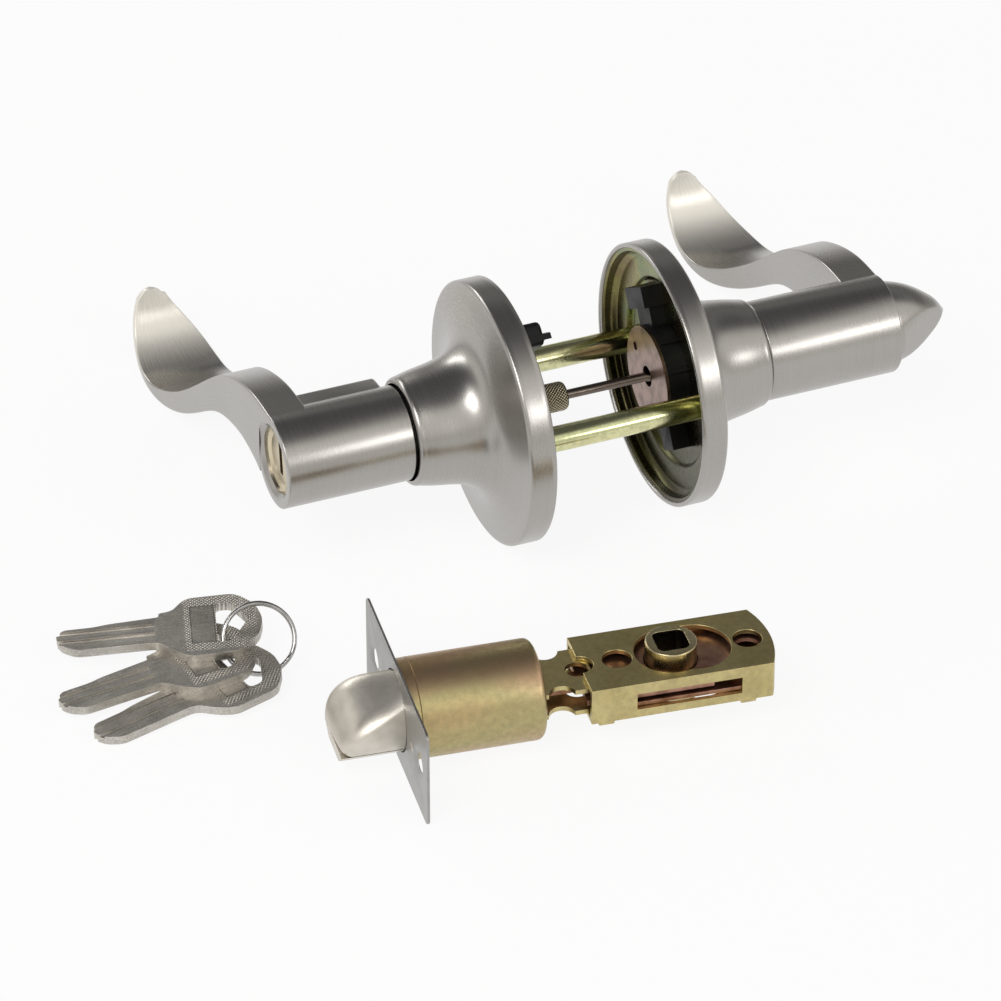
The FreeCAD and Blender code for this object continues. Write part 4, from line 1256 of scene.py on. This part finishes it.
@dataclass
class Bolt:
    """Latch bolt with a crowned bevel, cut flat underneath for the plunger."""

    radius: float = 9.5
    out: float = 15.6
    back: float = 19.0
    flat: float = 5.4
    roll: float = 16.0
    round: float = 3.2
    columns: int = 160
    crown_rows: int = 24
    bevel: tuple = ((-12.0, 0.0), (-6.0, 0.0), (-3.8, 0.35), (0.4, 2.0), (3.5, 4.4), (5.4, 7.2), (6.9, 10.6),
                    (8.5, 14.4), (9.8, 16.4))

    def front(self, y: np.ndarray, z: np.ndarray) -> np.ndarray:
        """Distance along X of the nose over (y, z): the bevel table read by the rolled height.

        Args:
            y: distances across the latch in millimetres.
            z: heights over the latch's middle in millimetres.

        Returns:
            Distances along X, in millimetres.
        """
        roll = math.radians(self.roll)
        height = z * math.cos(roll) - y * math.sin(roll)
        curve = through(self.bevel, 200)
        return np.maximum(np.interp(height, curve[:, 0], curve[:, 1]), 0.0) - self.out

    def make(self, place: LatchPlace, finish: bpy.types.Material) -> None:
        """Polar grid over the clipped round; the nose falls back along a quarter circle at its rim.

        Args:
            place: where the latch lies.
            finish: the material that it gets.
        """
        angle = np.linspace(0, FULL_TURN, self.columns, endpoint=False)
        reach = np.minimum(self.radius, self.flat / np.maximum(-np.sin(angle), 1e-6))
        reach = np.where(np.sin(angle) < 0, reach, self.radius)
        y, z = reach * np.cos(angle), reach * np.sin(angle)
        nose = self.front(y, z) + self.round
        rows = [np.stack([np.full_like(y, self.back), y, z], axis=-1)]
        for k in np.linspace(0, 1, 12):
            rows.append(np.stack([self.back - 0.1 + (nose + 0.05 - self.back + 0.1) * k, y, z], axis=-1))
        swing = np.linspace(0, QUARTER, 14)
        rim = 1 - self.round * (1 - np.cos(swing)) / self.radius
        crown = np.linspace(rim[-1] - 0.03, 0.01, self.crown_rows)
        falls = np.concatenate([self.round * (1 - np.sin(swing)), np.zeros(self.crown_rows)])
        for k, fall in zip(np.concatenate([rim, crown]), falls):
            rows.append(np.stack([self.front(k * y, k * z) + fall, k * y, k * z], axis=-1))
        obj = build("bolt", [Shell(place.world(np.stack(rows)), flip=True)], 40.0)
        obj.data.materials.append(finish)
        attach(obj, "bolt")
        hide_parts("latch_bolt")
        LOG.info("bolt: %d faces", len(obj.data.polygons))


@dataclass
class LatchBarrel:
    """Tube behind the faceplate with its rounded closed end."""

    radius: float = 11.9
    bore: float = 9.8
    front: float = 0.9
    seat: float = 3.4
    seat_radius: float = 11.85
    end: float = 33.0
    ease: float = 0.2
    bend: float = 1.6
    wall: float = 1.4
    mouth: float = 9.2
    rings: tuple[float, float] = (12.0, 22.0)

    def make(self, place: LatchPlace, finish: bpy.types.Material) -> None:
        """Sweeps the tube section about the latch's own axis.

        Args:
            place: where the latch lies.
            finish: the material that it gets.
        """
        angle = np.linspace(0, QUARTER, 9)
        bend = self.bend
        t, radius = self.end - bend + bend * np.sin(angle), self.radius - bend + bend * np.cos(angle)
        turn = np.stack([t, radius], axis=-1)
        path = np.concatenate([
            [(self.front, self.bore), (self.front, self.seat_radius), (self.seat, self.seat_radius),
             (self.seat, self.radius - self.ease), (self.seat + self.ease, self.radius),
             *((ring, self.radius) for ring in self.rings)],
            turn,
            [(self.end, self.mouth), (self.end - self.wall, self.mouth), (self.end - self.wall, self.bore)],
        ])
        obj = build("latch_barrel", [Shell(place.world(turn_profile(path)), wrap_rows=True)], 40.0)
        obj.data.materials.append(finish)
        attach(obj, "lockset")
        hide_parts("latch_tube")
        LOG.info("latch barrel: %d faces", len(obj.data.polygons))


@dataclass
class KeyRing:
    """Split ring: two turns of wire wound on a tilted circle."""

    centre: tuple[float, float, float] = (-94.5 + 24.091, -33.0 + 0.330, 7.4)
    radius: float = 8.4
    wire: float = 0.55
    lean: float = 46.0
    turns: float = 2.0
    gap: float = 0.08
    pitch: float = 2.02
    yaw: float = -15.0

    def make(self, finish: bpy.types.Material) -> None:
        """The wire's centre is a helix of two turns, and its section a circle in the radial plane.

        Args:
            finish: the material that it gets.
        """
        s = np.linspace(0, 1, 240)
        turn = FULL_TURN * (self.turns * s - self.gap)
        lift = (2 * s - 1) * self.wire * self.pitch
        side = np.linspace(0, FULL_TURN, 14, endpoint=False)
        fade = np.minimum(1.0, np.minimum(s, 1 - s) * 60 + 0.35)[:, None]
        r = self.radius + self.wire * fade * np.cos(side)
        z = lift[:, None] + self.wire * fade * np.sin(side)
        p = np.stack([r * np.cos(turn)[:, None], r * np.sin(turn)[:, None], z], axis=-1)
        a, b = math.radians(self.lean), math.radians(self.yaw)
        tilt = np.array([[1, 0, 0], [0, math.cos(a), -math.sin(a)], [0, math.sin(a), math.cos(a)]])
        swing = np.array([[math.cos(b), -math.sin(b), 0], [math.sin(b), math.cos(b), 0], [0, 0, 1]])
        p = (p @ (swing @ tilt).T + np.array(self.centre)) * MM
        obj = build("ring", [Shell(p, flip=True)], 60.0)
        obj.data.materials.append(finish)
        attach(obj, "lockset")
        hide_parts("key_ring")
        LOG.info("key ring: %d faces", len(obj.data.polygons))


# Studio


@dataclass
class Studio:
    """Pale floor, soft lights, world and the camera at the photograph's angle."""

    azimuth: float = -22.0
    elevation: float = 34.7
    distance: float = 1.606
    lens: float = 237.76
    target: tuple[float, float, float] = (-0.0166 + 0.024091, 0.00882 + 0.00033, -0.0005)
    roll: float = -0.11
    sensor: float = 36.0
    reach: float = 6.0
    glow: float = 0.90
    rear_right: tuple = (
        (0.0, (0.30, 0.295, 0.29)), (0.12, (0.50, 0.49, 0.47)), (0.22, (0.24, 0.24, 0.23)),
        (0.36, (0.15, 0.15, 0.15)), (0.5, (0.27, 0.27, 0.26)), (0.62, (0.24, 0.24, 0.24)),
        (0.75, (0.10, 0.10, 0.105)), (1.0, (0.12, 0.12, 0.125)),
    )
    rear_left: tuple = (
        (0.0, (0.30, 0.295, 0.29)), (0.16, (0.75, 0.73, 0.71)), (0.28, (1.00, 0.98, 0.95)),
        (0.42, (1.00, 0.98, 0.95)), (0.58, (0.28, 0.28, 0.28)), (0.75, (0.10, 0.10, 0.105)),
        (1.0, (0.12, 0.12, 0.125)),
    )
    front_screen: tuple = (
        (0.0, (0.80, 0.78, 0.75)), (0.1, (0.66, 0.64, 0.61)), (0.24, (0.85, 0.83, 0.80)),
        (0.36, (1.00, 0.98, 0.95)), (0.8, (1.00, 0.98, 0.95)), (0.88, (0.50, 0.49, 0.48)),
        (0.95, (0.11, 0.11, 0.115)), (1.0, (0.12, 0.12, 0.125)),
    )
    aside: tuple[float, float] = (-0.05, 0.2)
    ahead: tuple[float, float] = (-0.12, 0.12)
    lamps: tuple = (
        ("key", (-0.9, -0.7, 1.3), (0.7, 0.7), 9.0),
        ("fill", (0.75, -1.3, 0.75), (0.9, 0.35), 4.0),
        ("rear", (-0.5, 1.3, 0.75), (0.9, 0.25), 3.0),
    )

    def camera(self) -> None:
        """Looks from the azimuth and elevation at the target."""
        a, e = math.radians(self.azimuth), math.radians(self.elevation)
        back = Vector((math.sin(a) * math.cos(e), -math.cos(a) * math.cos(e), math.sin(e)))
        data = bpy.data.cameras.new("view")
        data.lens = self.lens
        data.sensor_width = self.sensor
        data.clip_start, data.clip_end = 0.05, 20.0
        camera = bpy.data.objects.new("view", data)
        camera.rotation_mode = "QUATERNION"
        camera.location = Vector(self.target) + back * self.distance
        level = (-back).to_track_quat("-Z", "Y")
        camera.rotation_quaternion = level @ Quaternion((0.0, 0.0, 1.0), math.radians(self.roll))
        bpy.context.scene.collection.objects.link(camera)
        bpy.context.scene.camera = camera

    def floor(self) -> None:
        """Pale plane that shows white to the camera but keeps the shadows."""
        mesh = bpy.data.meshes.new("floor")
        r = self.reach
        mesh.from_pydata([(-r, -r, 0), (r, -r, 0), (r, r, 0), (-r, r, 0)], [], [(0, 1, 2, 3)])
        obj = bpy.data.objects.new("floor", mesh)
        bpy.context.scene.collection.objects.link(obj)
        material, net = new_material("floor_white")
        path = net.node("ShaderNodeLightPath")
        seen = Value(net, path.outputs["Is Camera Ray"]).larger(Value(net, path.outputs["Is Glossy Ray"]))
        seen = seen.larger(Value(net, path.outputs["Is Transmission Ray"]))
        matte = net.node("ShaderNodeBsdfDiffuse", None, {"Color": (0.86, 0.86, 0.86)})
        glow = net.node("ShaderNodeEmission", None, {"Color": (1.0, 1.0, 1.0), "Strength": 1.0})
        parts = {0: seen * self.glow, 1: matte.outputs[0], 2: glow.outputs[0]}
        mixed = net.node("ShaderNodeMixShader", None, parts)
        net.node("ShaderNodeOutputMaterial", None, {"Surface": mixed.outputs[0]})
        mesh.materials.append(material)
        obj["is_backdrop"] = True

    def world(self) -> None:
        """White behind the object; for the light, soft screens before and behind with dark gaps between."""
        world = bpy.data.worlds.new("studio")
        bpy.context.scene.world = world
        world.use_nodes = True
        net = Net(world.node_tree)
        east, deep, up = net.split(net.value("ShaderNodeTexCoord", out=0))
        right = net.ramp(up, self.rear_right)
        left = net.ramp(up, self.rear_left)
        rear = net.blend(east.ranged(*self.aside), left, right)
        front = net.ramp(up, self.front_screen)
        sky = net.blend(deep.ranged(*self.ahead), front, rear)
        path = net.node("ShaderNodeLightPath")
        colour = net.blend(Value(net, path.outputs["Is Camera Ray"]), sky, (1.0, 1.0, 1.0))
        back = net.node("ShaderNodeBackground", None, {"Color": colour, "Strength": 1.0})
        net.node("ShaderNodeOutputWorld", None, {"Surface": back.outputs[0]})

    def lamp(self, name: str, place: tuple, size: tuple, power: float, aim: tuple = (0.0, 0.0, 0.03)) -> None:
        """Adds a soft rectangular lamp aimed at a point.

        Args:
            name: the lamp's name.
            place: where it stands, in metres.
            size: its width and height in metres.
            power: its power in watts.
            aim: the point that it faces, in metres.
        """
        data = bpy.data.lights.new(name, "AREA")
        data.shape = "RECTANGLE"
        data.size, data.size_y = size
        data.energy = power
        obj = bpy.data.objects.new(name, data)
        obj.location = Vector(place)
        obj.rotation_mode = "QUATERNION"
        obj.rotation_quaternion = (Vector(aim) - Vector(place)).to_track_quat("-Z", "Y")
        bpy.context.scene.collection.objects.link(obj)

    def make(self) -> None:
        """Sets up the camera, the floor, the world and the lamps."""
        self.camera()
        self.floor()
        self.world()
        for name, place, size, power in self.lamps:
            self.lamp(name, place, size, power)
        view = bpy.context.scene.view_settings
        view.view_transform = "Standard"
        LOG.info("studio ready")


# Whole set


def dress(node: str, finish: bpy.types.Material) -> None:
    """Gives a machined node its finish.

    Args:
        node: the frame's node.
        finish: the material that it gets.
    """
    obj = FRAME["nodes"][node]
    if not obj.material_slots:
        obj.data.materials.append(finish)
    for slot in obj.material_slots:
        slot.material = finish


@dataclass
class Lockset:
    """The whole set: places, finishes and the pieces of each group."""

    trim: TrimPlace = field(default_factory=TrimPlace)
    latch: LatchPlace = field(default_factory=LatchPlace)
    hub_axis: float = 65.3
    hub_well: tuple[float, float] = (0.0049, 0.0199)
    plates: tuple = ((-5.0, -5.0), (0.0, 0.0), (1.3, 0.6), (2.3, 1.0), (3.0, 3.0))
    plunger_extra: float = 1.3
    keys: tuple = ((-137.8, -14.5, -16.9), (-144.2, -34.7, 3.3), (-139.9, -46.9, 11.5))
    keyed_edges: tuple = (
        (0.0, 9.5), (0.0, 9.5), (0.0, 9.5), (0.0, 9.5), (0.0, 9.6), (0.0, 9.9),
        (-0.2, 11.0), (-0.6, 13.8), (-1.1, 16.8), (-1.5, 18.4), (-1.6, 18.7),
        (-1.2, 18.0), (-0.3, 15.9), (0.8, 13.0), (2.1, 10.6), (3.4, 9.0),
    )
    turn_edges: tuple = (
        (0.0, 9.5), (0.0, 9.5), (0.0, 9.5), (0.0, 9.5), (0.0, 9.5), (-0.3, 9.4),
        (-1.2, 9.2), (-3.1, 9.4), (-5.3, 10.9), (-6.8, 12.4), (-7.1, 13.0),
        (-5.6, 13.2), (-2.6, 13.0), (0.4, 12.5), (3.2, 11.5), (4.9, 10.4),
    )

    def trims(self) -> None:
        """Roses, levers, button, plates, posts and the parts inside."""
        nickel = NICKEL_TURNED.make()
        blade = NICKEL_BLADE.make()
        zinc = ZINC_CUP.make()
        post = ZINC_POST.make()
        black = CAGE_BLACK.make()
        pink = PLATE_ROSE.make()
        steel = STEEL_DARK.make()
        brass = BRASS_PLUG.make()
        knurl = STEEL_KNURLED.make()
        Lever(Side.KEYED, 59.5, 11.6, 8.25, self.keyed_edges, (6.0, 3.67, -4.5)).make(self.trim, blade)
        turn_tip = (7.6, 3.9, -4.35)
        Lever(Side.TURN, 61.5, 12.25, 4.05, self.turn_edges, turn_tip, gap=0.15).make(self.trim, blade)
        for side in Side:
            Rose(side).make(self.trim, nickel)
            Cup(side).make(self.trim, zinc)
        TurnButton().make(self.trim, nickel)
        Posts().make(self.trim, post)
        Spindle().make(self.trim, knurl)
        for node in ("outside_spring_cage", "inside_spring_cage"):
            cage = softened(node, node + "_eased", 0.25)
            cage.data.materials.append(black)
            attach(cage, "lockset")
        CageTab().make(self.trim, black)
        LockBar().make(self.trim, steel)
        for node in ("outside_centre_plate", "inside_centre_plate"):
            dress(node, pink)
        for node in ("key_cylinder", "key_plug"):
            dress(node, brass)
        for node in ("outside_hub", "inside_hub", "outside_retaining_ring", "inside_retaining_ring",
                     "outside_return_spring", "inside_return_spring", "inside_spindle", "mounting_screws"):
            dress(node, steel)

    def latch_set(self) -> None:
        """Faceplate, bolt, tube, neck, case and hub."""
        plate = PLATE_NICKEL.make()
        nickel = LATCH_NICKEL.make()
        khaki = ZINC_KHAKI.make()
        hub_x, hub_y, _ = self.latch.world(np.array([self.hub_axis, 0.0, 0.0]))
        # The hub's finish paints shade into its well.
        hub_zinc_shaded = Chromate("zinc_hub", HUB_TINTS, 0.28, 60.0, well=(hub_x, hub_y, *self.hub_well)).make()
        tan = ZINC_TAN.make()
        copper = COPPER_WASH.make()
        steel = STEEL_PLAIN.make()
        LatchBarrel().make(self.latch, tan)
        Bolt().make(self.latch, nickel)
        for node, finish, slot, body, ease in (
            ("latch_faceplate", plate, "latch_nickel", "lockset", 0.3),
            ("latch_backing_plate", plate, "latch_nickel", "lockset", 0.15),
            ("deadlatch_plunger", nickel, "latch_nickel", "plunger", 0.2),
            ("latch_neck", khaki, "yellow_zinc", "lockset", 0.15),
            ("latch_case", khaki, "yellow_zinc", "lockset", 0.3),
            ("latch_hub", hub_zinc_shaded, "yellow_zinc", "hub", 0.15),
        ):
            obj = softened(node, node + "_eased", ease, reshape=self.slim)
            obj.data.materials.append(finish)
            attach(obj, body)
            LOG.info("%s eased", node)
        dress("latch_rivets", nickel)
        dress("latch_base", copper)
        dress("bolt_tail", copper)
        for node in ("bolt_spring", "plunger_spring"):
            dress(node, steel)

    def slim(self, points: np.ndarray) -> np.ndarray:
        """Thins the two plates at the front of the latch and lengthens the plunger's nose.

        Along the latch, each pair of plates gives the solids' place and the shown one in millimetres.

        Args:
            points: vertices in metres, in the row frame.

        Returns:
            The moved vertices in metres.
        """
        local = self.latch.local(points)
        x = local[:, 0]
        given, wanted = zip(*self.plates)
        thin = np.interp(x, given, wanted)
        ahead = x - self.plunger_extra
        local[:, 0] = np.where(x < given[0], ahead, np.where(x < given[-1], thin, x))
        return self.latch.world(local)

    def key_set(self) -> None:
        """Keys with their knurled bows, and the ring."""
        for i, (x, y, turn) in enumerate(self.keys):
            tip = (x + self.trim.shift_x, y + self.trim.shift_y)
            obj = softened("key_%d" % (i + 1), "key_%d_eased" % (i + 1), 0.3)
            obj.data.materials.append(KeyNickel("key_nickel_%d" % (i + 1), turn, tip).make())
            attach(obj, "lockset")
            LOG.info("key %d eased", i + 1)
        KeyRing().make(RING_BRIGHT.make())

    def make(self) -> None:
        """Builds every group in order."""
        self.trims()
        self.latch_set()
        self.key_set()


def corners() -> list[list[float]]:
    """The shown model's lowest and highest corners as plain lists."""
    return [[float(v) for v in corner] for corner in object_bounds()]


def main() -> None:
    """Dresses the set."""
    logging.basicConfig(level=logging.INFO, format="%(message)s")
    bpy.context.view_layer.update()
    Lockset().make()
    Studio().make()


if __name__ == "__main__":
    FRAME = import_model()
    main()
